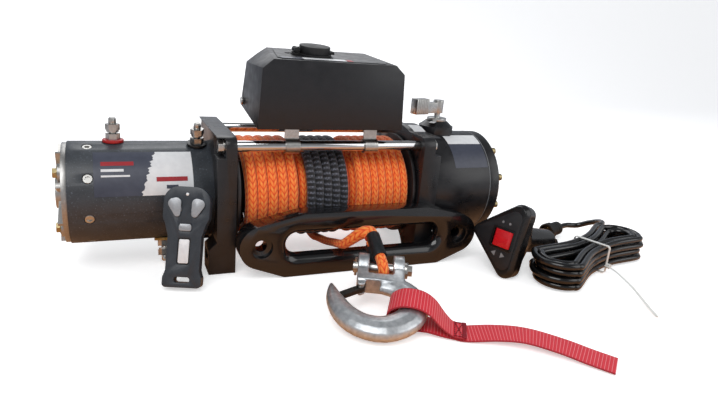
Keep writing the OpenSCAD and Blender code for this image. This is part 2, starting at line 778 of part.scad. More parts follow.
module clutch_housing() color(paint_black) difference() {
    union() {
        at_clutch(gearbox_top - boss_foot_h) intersection() {
            cylinder(h = clutch_h, r = boss_foot_r);
            translate([-boss_foot_r, -boss_foot_r * boss_depth_share, 0])
                cube([2 * boss_foot_r, 2 * boss_foot_r * boss_depth_share, clutch_h + boss_foot_h]);
        }
        at_clutch(boss_top - boss_foot_h) cylinder(h = boss_foot_h, r1 = boss_foot_r - over, r2 = boss_top_r);
        at_clutch(pin_tip + part_gap) cylinder(h = clutch_h, r = boss_spigot_r);
    }
    difference() {
        axial(gear_x) cylinder(h = gearbox_l, r = gearbox_r + rest_gap);
        at_clutch(axis_h) cylinder(h = 2 * gearbox_r, r = boss_spigot_r);
    }
    at_clutch(axis_h) cylinder(h = 2 * gearbox_r, r = pin_shank_r + run_gap);
    at_clutch(boss_top - lever_shaft_deep - part_gap) cylinder(h = clutch_h, r = lever_shaft_r + run_gap);
}

module clutch_lever() color(chrome_bright) difference() {
    union() {
        at_clutch(boss_top - lever_shaft_deep) cylinder(h = lever_shaft_deep + 2 * over, r = lever_shaft_r);
        at_clutch(boss_top + part_gap) cylinder(h = lever_disc_t, r = lever_disc_r);
        at_clutch(boss_top + lever_disc_t) cylinder(h = lever_neck_h + over, r = lever_neck_r);
        at_clutch(boss_top + lever_disc_t + lever_neck_h) cylinder(h = lever_hub_h, r = lever_hub_r);
        at_clutch(boss_top + lever_disc_t + lever_neck_h) rotate([0, 0, lever_turn]) {
            translate([0, -arm_w / 2, 0]) cube([lever_l - paddle_l + over, arm_w, arm_h]);
            translate([lever_l - paddle_l, -paddle_w / 2, -over]) difference() {
                cube([paddle_l, paddle_w, paddle_h]);
                for (s = [0, 1]) for (n = [1 : 6])
                    translate([n * paddle_l / 7, s * paddle_w, -over]) rotate([0, 0, 45])
                        translate([-knurl / 4, -knurl / 4, 0]) cube([knurl / 2, knurl / 2, 2 * paddle_h]);
            }
        }
    }
    at_clutch(boss_top - lever_shaft_deep - over)
        cylinder(h = lever_shaft_deep + over + lever_disc_t / 2, r = pin_stem_r + run_gap);
}

module clutch_pin() color(gear_steel) {
    at_clutch(pin_tip) cylinder(h = pin_head - pin_tip, r = pin_shank_r);
    at_clutch(pin_head - over) cylinder(h = lever_shaft_deep + over, r = pin_stem_r);
}

// Control box on the front tie rod

box_x = -7.3;
box_before_rod = 16.1;
box_over_rod = 22;
box_front = -rod_y - box_before_rod;
box_foot = rod_z + box_over_rod;
base_rise = 13;
box_draft = 3.5;
box_chamfer_w = 11.5;
box_chamfer_h = 10;
rear_lean = 19;
front_drop = 7.5;
base_t = 2;
base_slope = atan(base_rise / box_d);
roof_depth = box_d - rear_lean;
roof_slope = atan(front_drop / roof_depth);
// Places of the two clips along the drum, as shares of the box's width
strap_x_shares = [-0.292, 0.267];
strap_x = [for (share = strap_x_shares) share * box_w];
clip_w = 16.5;
clip_t = 2;
clip_tab = 14;
clip_reach = 22;
clip_screw_y = 2 * rod_r + clip_reach;
box_screw_r = 2.5;
box_screw_head_r = 4.5;
box_screw_head_t = 2.6;
box_screw_depth_share = 0.86;
box_screw_h = 8;

module box_form(inset) intersection() {
    across(box_x - box_w) linear_extrude(2 * box_w) translate([box_front, box_foot]) polygon([
        [inset, inset > 0 ? -over : 0], [box_d - inset, base_rise - (inset > 0 ? over : 0)],
        [box_d - rear_lean - inset, box_h - inset], [inset, box_h - front_drop - inset]
    ]);
    facing_front(box_front + box_d + over) linear_extrude(box_d + 2 * over)
        translate([box_x, box_foot]) polygon([
            [-box_w / 2 + inset, -over], [box_w / 2 - inset, -over],
            [box_w / 2 - box_draft - inset, box_h - front_drop - box_chamfer_h],
            [box_w / 2 - box_draft - box_chamfer_w - inset, box_h - front_drop - inset],
            [box_w / 2 - box_draft - 2 * box_chamfer_w - inset, box_h + over - inset],
            [-box_w / 2 + box_draft + 2 * box_chamfer_w + inset, box_h + over - inset],
            [-box_w / 2 + box_draft + box_chamfer_w + inset, box_h - front_drop - inset],
            [-box_w / 2 + box_draft + inset, box_h - front_drop - box_chamfer_h]
        ]);
}

// On the sloping base, X from the middle of the box, Y from its front, Z up from the base
module on_base() translate([box_x, box_front, box_foot]) rotate([base_slope, 0, 0]) children();

base_l = box_d / cos(base_slope);
socket_x = -24;
socket_depth = 34;
module on_roof() translate([
    socket_x, box_front + socket_depth, box_foot + box_h - front_drop + socket_depth * tan(roof_slope)
]) rotate([roof_slope, 0, 0]) children();

// How far the cover's sides lean in at a height over the box's foot
function side_lean(h) = box_draft * h / (box_h - front_drop - box_chamfer_h);
box_screw_half = box_w / 2 - side_lean(base_rise * box_screw_depth_share + box_screw_h - box_screw_head_r);

module at_box_screws() on_base() for (s = [-1, 1])
    translate([s * box_screw_half, base_l * box_screw_depth_share, box_screw_h])
        rotate([0, s * 90, 0]) children();

module control_box_cover() color(paint_black) difference() {
    box_form(0);
    box_form(box_wall);
    on_roof() cylinder(h = 4 * box_wall, r = socket_r - box_wall + part_gap, center = true);
    at_box_screws() cylinder(h = 4 * box_wall, r = box_screw_r + part_gap, center = true);
}

// Half widths of the base plate and of its tabs, inside the cover's leaning sides
plate_half = box_w / 2 - box_wall - part_gap - side_lean(base_rise + base_t);
tab_half = box_w / 2 - box_wall - 2 * part_gap - side_lean(base_rise + 2 * box_screw_h);

module control_box_base() color(paint_black) {
    on_base() difference() {
        union() {
            translate([-plate_half, box_wall + part_gap, 0])
                cube([2 * plate_half, base_l - 4 * box_wall, base_t]);
            for (s = [-1, 1]) translate([
                s > 0 ? tab_half - base_t : -tab_half, base_l * box_screw_depth_share - box_screw_h, 0
            ]) cube([base_t, box_screw_h + box_screw_head_r, 2 * box_screw_h]);
        }
        for (s = [-1, 1]) translate([s * box_w / 2, base_l * box_screw_depth_share, box_screw_h])
            rotate([0, s * 90, 0]) cylinder(h = 6 * box_wall, r = box_screw_r + run_gap, center = true);
        for (x = strap_x) translate([x - box_x, clip_screw_y, -over])
            cylinder(h = 4 * base_t, r = box_screw_r + run_gap);
    }
}

contactor_w = 92;
contactor_d = 46;
contactor_h = 34;
contactor_before = 12;
contactor_post_r = 4;
contactor_post_h = 12;

module contactor() color([0.22, 0.22, 0.24])
on_base() translate([-contactor_w / 2, clip_screw_y - contactor_before, base_t]) {
    difference() {
        cube([contactor_w, contactor_d, contactor_h]);
        for (x = strap_x) translate([x - box_x + contactor_w / 2, contactor_before, -over])
            cylinder(h = 5 * base_t, r = 2 * box_screw_head_r);
    }
    for (u = [1, 3]) for (v = [1, 3])
        translate([u * contactor_w / 4, v * contactor_d / 4, contactor_h - over])
            cylinder(h = contactor_post_h, r = contactor_post_r);
}

// A clip is a strip round the rod with a leg up to the base and a foot under it
module box_straps() color(zinc) for (x = strap_x) difference() {
    union() {
        translate([x - clip_w / 2, 0, 0]) {
            translate([0, -rod_y, rod_z]) rotate([0, 90, 0])
                cylinder(h = clip_w, r = rod_r + rest_gap + clip_t);
            translate([0, -rod_y, rod_z]) cube([clip_w, clip_t, box_foot - rod_z - over]);
        }
        on_base() translate([x - box_x - clip_w / 2, -box_front - rod_y, -2 * clip_t])
            cube([clip_w, clip_screw_y + clip_tab - 2 * rod_r, 2 * clip_t]);
    }
    translate([x - clip_w, -rod_y, rod_z]) rotate([0, 90, 0]) cylinder(h = 2 * clip_w, r = rod_r + rest_gap);
    on_base() translate([x - box_x, clip_screw_y, -over - 2 * clip_t])
        cylinder(h = 4 * base_t, r = box_screw_r + run_gap);
}

module box_screws() color(zinc) {
    at_box_screws() {
        translate([0, 0, rest_gap]) cylinder(h = box_screw_head_t, r = box_screw_head_r);
        translate([0, 0, -3 * box_wall]) cylinder(h = 3 * box_wall + over, r = box_screw_r);
    }
    on_base() for (x = strap_x) translate([x - box_x, clip_screw_y, 0]) {
        translate([0, 0, base_t]) cylinder(h = box_screw_head_t, r = box_screw_head_r);
        translate([0, 0, -2 * clip_t]) cylinder(h = 2 * clip_t + base_t + over, r = box_screw_r);
    }
}

socket_flange_t = 2.5;
socket_deep = 20;
socket_bore_wall = 3;
contact_r = 1.5;
contact_ring = 8;
contacts = 5;
hinge_out = 3;
hinge_r = 3;
hinge_pin_r = 1.5;
hinge_w = 12;
hinge_cap_w = 6;
cap_h = 8;
cap_wall = 1.5;
hinge_x = -socket_r - hinge_out;
hinge_z = socket_flange_t + hinge_r + rest_gap;

module socket_housing() color(rubber_black) on_roof() {
    difference() {
        union() {
            translate([0, 0, rest_gap]) cylinder(h = socket_flange_t, r = socket_r);
            translate([0, 0, -socket_deep]) cylinder(h = socket_deep + over, r = socket_r - box_wall);
            translate([hinge_x - hinge_r, -hinge_w / 2, rest_gap])
                cube([2 * hinge_r + hinge_out, hinge_w, socket_flange_t]);
            for (s = [-1, 1]) translate([hinge_x, s > 0 ? hinge_w / 2 : -hinge_cap_w / 2 - rest_gap, hinge_z])
                rotate([90, 0, 0]) cylinder(h = (hinge_w - hinge_cap_w) / 2 - rest_gap, r = hinge_r);
        }
        translate([0, 0, -socket_deep + socket_bore_wall])
            cylinder(h = 2 * socket_deep, r = socket_r - box_wall - socket_bore_wall);
    }
    translate([hinge_x, hinge_w / 2, hinge_z]) rotate([90, 0, 0]) cylinder(h = hinge_w, r = hinge_pin_r);
    for (n = [0 : contacts - 1]) rotate([0, 0, n * 360 / contacts])
        translate([contact_ring, 0, -socket_deep + socket_bore_wall - over / 2])
            cylinder(h = socket_deep - 2 * socket_bore_wall, r = contact_r);
}

module socket_cap() color(rubber_black) on_roof() difference() {
    union() {
        translate([0, 0, socket_flange_t + 2 * rest_gap]) cylinder(h = cap_h, r = socket_r - cap_wall);
        translate([hinge_x, -hinge_cap_w / 2 + rest_gap, hinge_z - hinge_r / 2])
            cube([hinge_out + 2 * hinge_r, hinge_cap_w - 2 * rest_gap, 3 * hinge_r / 2]);
        translate([hinge_x, hinge_cap_w / 2 - rest_gap, hinge_z]) rotate([90, 0, 0])
            cylinder(h = hinge_cap_w - 2 * rest_gap, r = hinge_r);
        translate([socket_r - 3 * cap_wall, -hinge_w / 2, socket_flange_t + 2 * rest_gap])
            cube([hinge_out + 3 * cap_wall, hinge_w, 2 * cap_wall]);
    }
    translate([hinge_x, hinge_w, hinge_z]) rotate([90, 0, 0])
        cylinder(h = 2 * hinge_w, r = hinge_pin_r + run_gap);
    translate([0, 0, -over])
        cylinder(h = socket_flange_t + cap_h - cap_wall, r = socket_r - box_wall - cap_wall);
}

// Fairlead, drawn from the front and centred between its two bolts

fairlead_x = 36.7;
fairlead_y = -half_depth - rest_gap;
ear_r = 25.4;
fairlead_top_half = 79.6;
fairlead_foot_half = 100.6;
lip_r = fairlead_t / 2;
lip_lift = 0.6;
slot_z = slot_h / 2 + fairlead_t + lip_lift;
fairlead_hole_r = 6.5;
fairlead_sink_r = 12;
fairlead_sink = 7;
fairlead_mid = fairlead_h / 2;

// The point where a line from p touches a circle, on the side given by 1 or -1
function touch(p, c, r, side) =
    let (d = norm(c - p), reach = sqrt(d * d - r * r),
         a = atan2(c[1] - p[1], c[0] - p[0]) + side * asin(r / d))
        p + reach * [cos(a), sin(a)];

module fairlead_half() {
    ear = [fairlead_spacing / 2, fairlead_mid];
    translate(ear) circle(r = ear_r);
    polygon([
        [-over, 0], [fairlead_foot_half, 0], touch([fairlead_foot_half, 0], ear, ear_r, -1), ear,
        touch([fairlead_top_half, fairlead_h], ear, ear_r, 1), [fairlead_top_half, fairlead_h],
        [-over, fairlead_h]
    ]);
}

lip_path_r = slot_h / 2 + lip_r;
slot_straight = slot_l / 2 - slot_h / 2;

module fairlead_holes() for (s = [-1, 1]) translate([s * fairlead_spacing / 2, fairlead_mid, 0]) {
    translate([0, 0, -over]) cylinder(h = fairlead_t + 2 * over, r = fairlead_hole_r);
    translate([0, 0, fairlead_t - fairlead_sink]) cylinder(h = fairlead_sink + over, r = fairlead_sink_r);
}

module fairlead() color(paint_black) translate([fairlead_x, fairlead_y, 0]) rotate([90, 0, 0]) {
    difference() {
        linear_extrude(fairlead_t) difference() {
            union() {
                fairlead_half();
                mirror([1, 0]) fairlead_half();
            }
            translate([-slot_straight, slot_z - lip_path_r]) square([2 * slot_straight, 2 * lip_path_r]);
            for (s = [-1, 1]) translate([s * slot_straight, slot_z]) circle(r = lip_path_r);
        }
        fairlead_holes();
    }
    translate([0, slot_z, lip_r]) for (s = [-1, 1]) translate([-slot_straight, s * lip_path_r, 0])
        rotate([0, 90, 0]) cylinder(h = 2 * slot_straight, r = lip_r);
    difference() {
        for (s = [0, 1]) translate([0, slot_z, lip_r]) rotate([0, 0, 180 * s])
            translate([slot_straight, 0, 0]) rotate([0, 0, -90])
                rotate_extrude(angle = 180) translate([lip_path_r, 0]) circle(r = lip_r);
        fairlead_holes();
    }
}

// Rope from the drum to the hook, with its eye round the clevis pin

pin_at = [25, -160, 30.5];
pin_turn = -25;
pin_dir = [cos(pin_turn), sin(pin_turn), 0];
eye_dir = unit([5, 46, 25]);
eye_out = unit(cross(pin_dir, eye_dir));
eye_rope_r = 6;
eye_slack = 0.4;
eye_r = pin_r + rest_gap + eye_rope_r + eye_slack;
eye_leg = 44;
eye_close = 8;
splice_r = 8;
tail_r = 5;
tail_layer_r = wound_r + rest_gap + tail_r;
// The top of the fairlead's lower lip, and the rope's way over it from there
lip_at = [6, fairlead_y - lip_r, fairlead_t + lip_lift];
lip_steps = [
    [-4, 34.3, -2.5], [-1.5, 12.3, 3.5], [0, 0, 6.6], [2, -9.7, 10.5], [7, -19.2, 19.5],
    [15, -26.7, 29]
];
// The last points of the rope on the drum, then its way through the slot to the eye
rope_route = concat(
    [for (a = [290 : -13.5 : 249.5]) [0, cos(a) * tail_layer_r, axis_h + sin(a) * tail_layer_r]],
    [for (step = lip_steps) lip_at + step],
    [pin_at + eye_dir * (eye_leg + splice_r), pin_at + eye_dir * eye_leg]
);
function rope_radius(n, count) =
    tail_r + (splice_r - tail_r) * min(1, max(0, (n - 0.4 * count) / (0.3 * count)));
rope_line = smooth(rope_route, 3);
eye_sides = 10;
eye_arc = 12;
eye_line = concat(
    [pin_at + eye_dir * eye_leg + eye_out * eye_close],
    [for (k = [0 : eye_arc]) let (a = 90 - 180 * k / eye_arc)
        pin_at - eye_dir * (eye_r * cos(a)) + eye_out * (eye_r * sin(a))],
    [pin_at + eye_dir * eye_leg - eye_out * eye_close]
);

module rope_tail() color(rope_orange) {
    swept(cord_rings(rope_line, [for (n = [0 : len(rope_line) - 1]) rope_radius(n, len(rope_line))],
        eye_sides, [0, 0.3, 1]));
    swept([for (n = [0 : len(eye_line) - 1]) let (along = heading(eye_line, n))
        ring(eye_line[n], pin_dir, unit(cross(pin_dir, along)), eye_rope_r, eye_rope_r, eye_sides)]);
}

thimble_gap = 0.3;
thimble_wall = 1.4;
thimble_l = 34;
thimble_from = 6;

module thimble_form(r, extra) for (s = [-1, 1]) {
    foot = pin_at + eye_out * eye_r * s;
    leg = unit(pin_at + eye_dir * eye_leg + eye_out * eye_close * s - foot);
    translate(foot + leg * (thimble_from - extra))
        rotate([0, 0, atan2(leg[1], leg[0])]) rotate([0, 90 - asin(leg[2]), 0])
            cylinder(h = thimble_l + 2 * extra, r = r);
}

module thimble() color([0.28, 0.29, 0.31]) difference() {
    thimble_form(eye_rope_r + thimble_gap + thimble_wall, 0);
    thimble_form(eye_rope_r + thimble_gap, over);
    translate(pin_at + eye_dir * (thimble_l + over))
        rotate([0, 0, atan2(eye_dir[1], eye_dir[0])]) rotate([0, 90 - asin(eye_dir[2]), 0])
            cylinder(h = eye_leg, r = splice_r + thimble_gap);
}

// Hook, drawn flat with its pin along X and its bowl towards -Y

hook_tilt = 11;
hook_t = 19;
ear_round = 15.5;
clevis_half = ear_gap / 2 + ear_t;
// The yoke starts clear of the thimble, also with the hook swung up
yoke_from = eye_r + eye_rope_r + thimble_gap + thimble_wall + 2 * eye_slack;
yoke_end = 34;
// Centre line, half width and half thickness of the bowl, as shares of the hook's length
hook_shares = [
    [0.03, -0.24, 0.130, 0.075], [0.17, -0.30, 0.120, 0.080], [0.275, -0.42, 0.125, 0.083],
    [0.30, -0.59, 0.130, 0.085], [0.215, -0.76, 0.135, 0.087], [0.04, -0.865, 0.135, 0.087],
    [-0.155, -0.835, 0.125, 0.085], [-0.30, -0.71, 0.110, 0.078], [-0.385, -0.55, 0.085, 0.064],
    [-0.425, -0.42, 0.052, 0.042], [-0.445, -0.31, 0.015, 0.015]
];
hook_points = smooth([for (h = hook_shares) [h[0], h[1], 0] * hook_l], 3);
hook_widths = smooth([for (h = hook_shares) [h[2], h[3], 0] * hook_l], 3);
hook_sides = 12;
latch_at = [-20, -37, 0];
latch_turn = 217;
latch_l = 24;
latch_w = 7;
latch_t = 5.6;
latch_pin_r = 2;
latch_lug_r = 4.5;
latch_lug_gap = 4.5;
latch_lug_t = 3;
latch_clear = 0.6;

module at_hook() translate(pin_at) rotate([0, 0, pin_turn]) rotate([hook_tilt, 0, 0]) children();

module hook() color(zinc) at_hook() difference() {
    union() {
        swept([for (n = [0 : len(hook_points) - 1]) let (along = heading(hook_points, n))
            ring(hook_points[n], unit(cross(along, [0, 0, 1])), [0, 0, 1],
                hook_widths[n][0], hook_widths[n][1], hook_sides)]);
        for (s = [-1, 1]) translate([s > 0 ? ear_gap / 2 : -clevis_half, 0, 0]) {
            rotate([0, 90, 0]) cylinder(h = ear_t, r = ear_round);
            translate([0, -yoke_end, -hook_t / 2]) cube([ear_t, yoke_end, hook_t]);
        }
        translate([-ear_gap / 2 - over, -yoke_end, -hook_t / 2])
            cube([ear_gap + 2 * over, yoke_end - yoke_from, hook_t]);
        for (s = [-1, 1]) translate(latch_at + [0, 0, s * (latch_lug_gap + latch_lug_t / 2)])
            cylinder(h = latch_lug_t, r = latch_lug_r, center = true);
        translate(latch_at - [0, 0, latch_lug_gap + latch_lug_t])
            cylinder(h = 2 * (latch_lug_gap + latch_lug_t), r = latch_pin_r);
    }
    translate([-2 * clevis_half, 0, 0]) rotate([0, 90, 0]) cylinder(h = 4 * clevis_half, r = pin_r + run_gap);
    translate([-ear_gap / 2, 0, 0]) rotate([0, 90, 0])
        cylinder(h = ear_gap, r = eye_r + eye_rope_r + eye_slack);
    translate(latch_at - [0, 0, latch_lug_gap]) difference() {
        cylinder(h = 2 * latch_lug_gap, r = latch_w / 2 + over + latch_clear);
        translate([0, 0, -over]) cylinder(h = 4 * latch_lug_gap, r = latch_pin_r);
    }
}

pin_head_r = 9;
pin_head_t = 4;
pin_nub = 11;
pin_nub_t = 5;
split_pin_r = 1.5;
split_pin_l = 22;

module clevis_pin() color(zinc) at_hook() rotate([0, 90, 0]) {
    translate([0, 0, -clevis_half - pin_nub_t]) cylinder(h = 2 * clevis_half + pin_nub_t + over, r = pin_r);
    translate([0, 0, clevis_half + rest_gap]) cylinder(h = pin_head_t, r = pin_head_r);
    translate([0, 0, clevis_half + pin_head_t]) linear_extrude(pin_nub_t) hexagon(pin_nub);
    translate([-split_pin_l / 2, 0, -clevis_half - split_pin_r - 2 * rest_gap]) rotate([0, 90, 0])
        cylinder(h = split_pin_l, r = split_pin_r);
}

module at_latch() at_hook() translate(latch_at) rotate([0, 0, latch_turn]) children();

module hook_latch() color([0.30, 0.29, 0.28]) at_latch() difference() {
    union() {
        translate([0, 0, -latch_lug_gap + rest_gap]) cylinder(h = latch_t, r = latch_w / 2 + over);
        translate([0, -latch_w / 2, -latch_lug_gap + rest_gap]) cube([latch_l, latch_w, latch_t]);
    }
    translate([0, 0, -latch_t]) cylinder(h = 3 * latch_t, r = latch_pin_r + run_gap);
}

spring_curls = 2;
spring_wire_r = 0.35;
spring_r = 3.2;
spring_lift = 0.5;
spring_from = -latch_lug_gap + rest_gap + latch_t + spring_lift;
curl_rings = 8;
spring_pitch = 1.15;

latch_spring_rings = [for (n = [0 : spring_curls * curl_rings])
    let (a = 360 * n / curl_rings, out = [cos(a), sin(a), 0])
        ring(out * spring_r + [0, 0, spring_from + spring_pitch * n / curl_rings], out, [0, 0, 1],
            spring_wire_r, spring_wire_r, wound_sides)];
echo(gap_latch_spring = min([for (n = [0 : len(latch_spring_rings) - 1 - curl_rings])
    for (p = latch_spring_rings[n]) for (q = latch_spring_rings[n + curl_rings]) norm(p - q)]));

module latch_spring() color(zinc) at_latch() swept(latch_spring_rings);

// Pull strap: a loop round the side of the bowl, sewn together, and a tail on the ground.
// Places along it as shares of the hook's length: away from the hook, sideways and up
strap_loop_shares = [
    [0.456, 0.000, 0.030], [0.368, 0.000, 0.033], [0.298, 0.000, 0.075], [0.237, 0.000, 0.132],
    [0.171, 0.000, 0.199], [0.092, 0.000, 0.247], [0.000, 0.000, 0.266], [-0.110, 0.000, 0.256],
    [-0.191, 0.000, 0.206], [-0.213, 0.000, 0.145], [-0.180, 0.000, 0.087], [-0.089, 0.000, 0.056],
    [0.018, 0.000, 0.045], [0.140, 0.000, 0.038], [0.263, 0.000, 0.022], [0.368, 0.000, 0.014],
    [0.474, 0.000, 0.011]
];
strap_tail_shares = [
    [0.728, 0.032, 0.044], [0.974, 0.035, 0.061], [1.259, -0.014, 0.044], [1.491, -0.083, 0.022],
    [1.684, -0.145, 0.011]
];
strap_mid_shares = [0.026, -0.640];
strap_turn = -32.7;
strap_bank = 0.18;
strap_mid = [pin_at[0] + strap_mid_shares[0] * hook_l, pin_at[1] + strap_mid_shares[1] * hook_l, 0];
strap_on = [cos(strap_turn), sin(strap_turn), 0];
strap_across = [-strap_on[1], strap_on[0], 0];
strap_route = [for (q = concat(strap_loop_shares, strap_tail_shares))
    strap_mid + (strap_on * q[0] + strap_across * q[1] + [0, 0, q[2]]) * hook_l];
strap_steps = 3;
strap_line = smooth(strap_route, strap_steps);
// The loop banks with the bowl that it goes round, and the ends lie flat
function strap_side(n) = let (
    along = heading(strap_line, n), t = n / strap_steps / (len(strap_loop_shares) - 1),
    bank = strap_bank * max(0, min(1, 8 * t - 0.7, 6.5 - 8 * t)),
    on = t < 1 ? strap_on : unit([along[0], along[1], 0])
) unit([-on[1], on[0], bank]);

module pull_strap() color(strap_red) swept([for (n = [0 : len(strap_line) - 1])
    let (
        side = strap_side(n) * -1,
        up = unit(cross(side, heading(strap_line, n)))
    ) [
        strap_line[n] + side * strap_w / 2 + up * strap_t / 2,
        strap_line[n] - side * strap_w / 2 + up * strap_t / 2,
        strap_line[n] - side * strap_w / 2 - up * strap_t / 2,
        strap_line[n] + side * strap_w / 2 - up * strap_t / 2
    ]]);

// Wireless remote, leaning on the motor; drawn upright with its face towards -Y

pocket_at = [-174, -94.1, 0];
pocket_turn = -20;
pocket_lean = -20;
pocket_head_h = 46;
pocket_head_r = 16;
pocket_grip_w = 35;
pocket_grip_from = 18;
pocket_grip_to = 54;
pocket_foot_w = 40;
pocket_foot_h = 14;
pocket_foot_r = 4;
lanyard_z = 8;
lanyard_w = 16;
lanyard_h = 6;
button_proud = 1.2;
button_deep = 2.6;
button_travel = 1;
oval_w = 10;
oval_h = 17;
oval_x = 11;
oval_z = 85;
oval_turn = 16;
power_w = 13;
power_h = 7.5;
power_z = 63;
window_w = 13;
window_from = 24;
window_to = 52;
window_deep = 1;
window_r = 2;

module at_pocket() translate(pocket_at) rotate([0, 0, pocket_turn]) rotate([pocket_lean, 0, 0]) children();

module rounded(w, h, r) {
    translate([-w / 2 + r, 0]) square([w - 2 * r, h]);
    translate([-w / 2, r]) square([w, h - 2 * r]);
    for (s = [-1, 1]) for (z = [r, h - r]) translate([s * (w / 2 - r), z]) circle(r = r);
}

module pocket_outline() {
    translate([0, pocket_l - pocket_head_h]) rounded(pocket_w, pocket_head_h, pocket_head_r);
    rounded(pocket_foot_w, pocket_foot_h, pocket_foot_r);
    polygon([
        [-pocket_foot_w / 2, pocket_foot_h - pocket_foot_r], [pocket_foot_w / 2, pocket_foot_h - pocket_foot_r],
        [pocket_grip_w / 2, pocket_grip_from], [pocket_grip_w / 2, pocket_grip_to],
        [pocket_w / 2, pocket_l - pocket_head_h + pocket_head_r],
        [-pocket_w / 2, pocket_l - pocket_head_h + pocket_head_r],
        [-pocket_grip_w / 2, pocket_grip_to], [-pocket_grip_w / 2, pocket_grip_from]
    ]);
}

module oval_key(s, extra, deep, proud) translate([s * oval_x, -pocket_t + deep, oval_z]) rotate([90, 0, 0])
    rotate([0, 0, s * -oval_turn]) linear_extrude(deep + proud) {
        for (z = [-1, 1]) translate([0, z * (oval_h - oval_w) / 2]) circle(r = oval_w / 2 + extra);
        square([oval_w + 2 * extra, oval_h - oval_w], center = true);
    }

module power_key(extra, deep, proud) translate([0, -pocket_t + deep, power_z - power_h / 2 - extra])
    rotate([90, 0, 0]) linear_extrude(deep + proud)
        rounded(power_w + 2 * extra, power_h + 2 * extra, power_h / 3);

module wireless_case() color(case_grey) at_pocket() difference() {
    rotate([90, 0, 0]) linear_extrude(pocket_t) pocket_outline();
    oval_key(-1, part_gap, button_deep, over);
    oval_key(1, part_gap, button_deep, over);
    power_key(part_gap, button_deep, over);
    translate([0, over, lanyard_z - lanyard_h / 2]) rotate([90, 0, 0]) linear_extrude(2 * pocket_t)
        rounded(lanyard_w, lanyard_h, lanyard_h / 2 - part_gap);
    translate([0, window_deep - pocket_t, window_from]) rotate([90, 0, 0]) linear_extrude(2 * window_deep)
        rounded(window_w, window_to - window_from, window_r);
}

button_t = button_deep - button_travel - rest_gap;
module wireless_button_in() color(zinc) at_pocket() oval_key(-1, 0, button_t, button_proud);
module wireless_button_out() color(zinc) at_pocket() oval_key(1, 0, button_t, button_proud);
module wireless_button_power() color(zinc) at_pocket() power_key(0, button_t, button_proud);

// Wired remote: its face towards -Y, its grip along +Y, lying on head and grip end

wired_at = [186, -147, 1];
wired_turn = -72;
wired_drop = -13.5;
head_deep = 30;
head_corner = 13;
face_left = -47;
face_right = 24;
face_corner = 9;
grip_x = -6;
grip_z = wired_h / 2;
grip_neck = 22;
rocker_w = 25;
rocker_h = 21;
rocker_t = 7;
rocker_proud = 2.5;
rocker_x = 0;
rocker_pin_r = 1.5;
rocker_pin_y = 2.2;
rocker_gap = 0.9;
// The head's outline is drawn in to its face and to its back, over slices of this thickness
slice_t = 2;
face_in = 3;
side_y = 8;
back_in = 2;
neck_in = 4;
grip_end_l = 4;
gland_r = 7;
gland_l = 12;
gland_deep = 10;
hull_fn = 32;

module at_wired() translate(wired_at) rotate([0, 0, wired_turn]) rotate([wired_drop, 0, 0]) children();

module head_slice(y, shrink) {
    translate([face_left + face_corner, y, grip_z]) rotate([90, 0, 0])
        cylinder(h = slice_t, r = face_corner - shrink, $fn = hull_fn);
    for (z = [head_corner, wired_h - head_corner]) translate([face_right - head_corner, y, z])
        rotate([90, 0, 0]) cylinder(h = slice_t, r = head_corner - shrink, $fn = hull_fn);
}

module handset_shell() color(rubber_black) at_wired() {
    difference() {
        union() {
            hull() {
                head_slice(slice_t, face_in);
                head_slice(side_y, 0);
                head_slice(head_deep - 3 * slice_t, back_in);
            }
            hull() {
                head_slice(head_deep - 4 * slice_t, neck_in);
                translate([grip_x, head_deep + grip_neck, grip_z]) rotate([90, 0, 0])
                    cylinder(h = slice_t, r = grip_r, $fn = hull_fn);
            }
            translate([grip_x, wired_l - grip_end_l, grip_z]) rotate([90, 0, 0])
                cylinder(h = wired_l - grip_end_l - head_deep - grip_neck + over, r = grip_r);
            translate([grip_x, wired_l - grip_end_l, grip_z]) rotate([-90, 0, 0])
                cylinder(h = grip_end_l, r1 = grip_r, r2 = grip_r - grip_end_l);
        }
        translate([rocker_x - rocker_w / 2 - rocker_gap, -over, grip_z - rocker_h / 2 - part_gap])
            cube([rocker_w + 2 * rocker_gap, rocker_t + 2 * over, rocker_h + 2 * part_gap]);
        translate([grip_x, wired_l - gland_deep - grip_end_l, grip_z]) rotate([-90, 0, 0])
            cylinder(h = 2 * gland_deep, r = gland_r + run_gap);
    }
    translate([rocker_x, rocker_pin_y, grip_z - rocker_h / 2 - part_gap - over])
        cylinder(h = rocker_h + 2 * part_gap + 2 * over, r = rocker_pin_r);
}

module rocker_switch() color(signal_red) at_wired() translate([rocker_x, 0, grip_z]) difference() {
    intersection() {
        translate([0, 1.5 * rocker_t, -rocker_h / 2])
            cylinder(h = rocker_h, r = 2 * rocker_t + rocker_proud - over / 2);
        translate([-rocker_w / 2, -rocker_proud, -rocker_h / 2]) cube([rocker_w, rocker_t + over, rocker_h]);
    }
    translate([0, rocker_pin_y, -rocker_h / 2 - over])
        cylinder(h = rocker_h + 2 * over, r = rocker_pin_r + run_gap);
}

// Cable: from the grip to the hank, the hank itself, and its end with the plug behind it

hank_at = [335, -154, 0];
hank_turn = 20;
hank_half = 82;
lobe_r = 15;
waist_r = 2.2;
loop_step = 8.8;
layer_step = 8.8;
hank_lift = 1.8;
loop_rings = 24;
cap_rings = 9;
hank_loops = 2 * hank_layers;

module at_hank() translate(hank_at) rotate([0, 0, hank_turn]) children();
function to_hank(q) = let (d = q - hank_at) [
    d[0] * cos(hank_turn) + d[1] * sin(hank_turn), -d[0] * sin(hank_turn) + d[1] * cos(hank_turn), d[2]
];

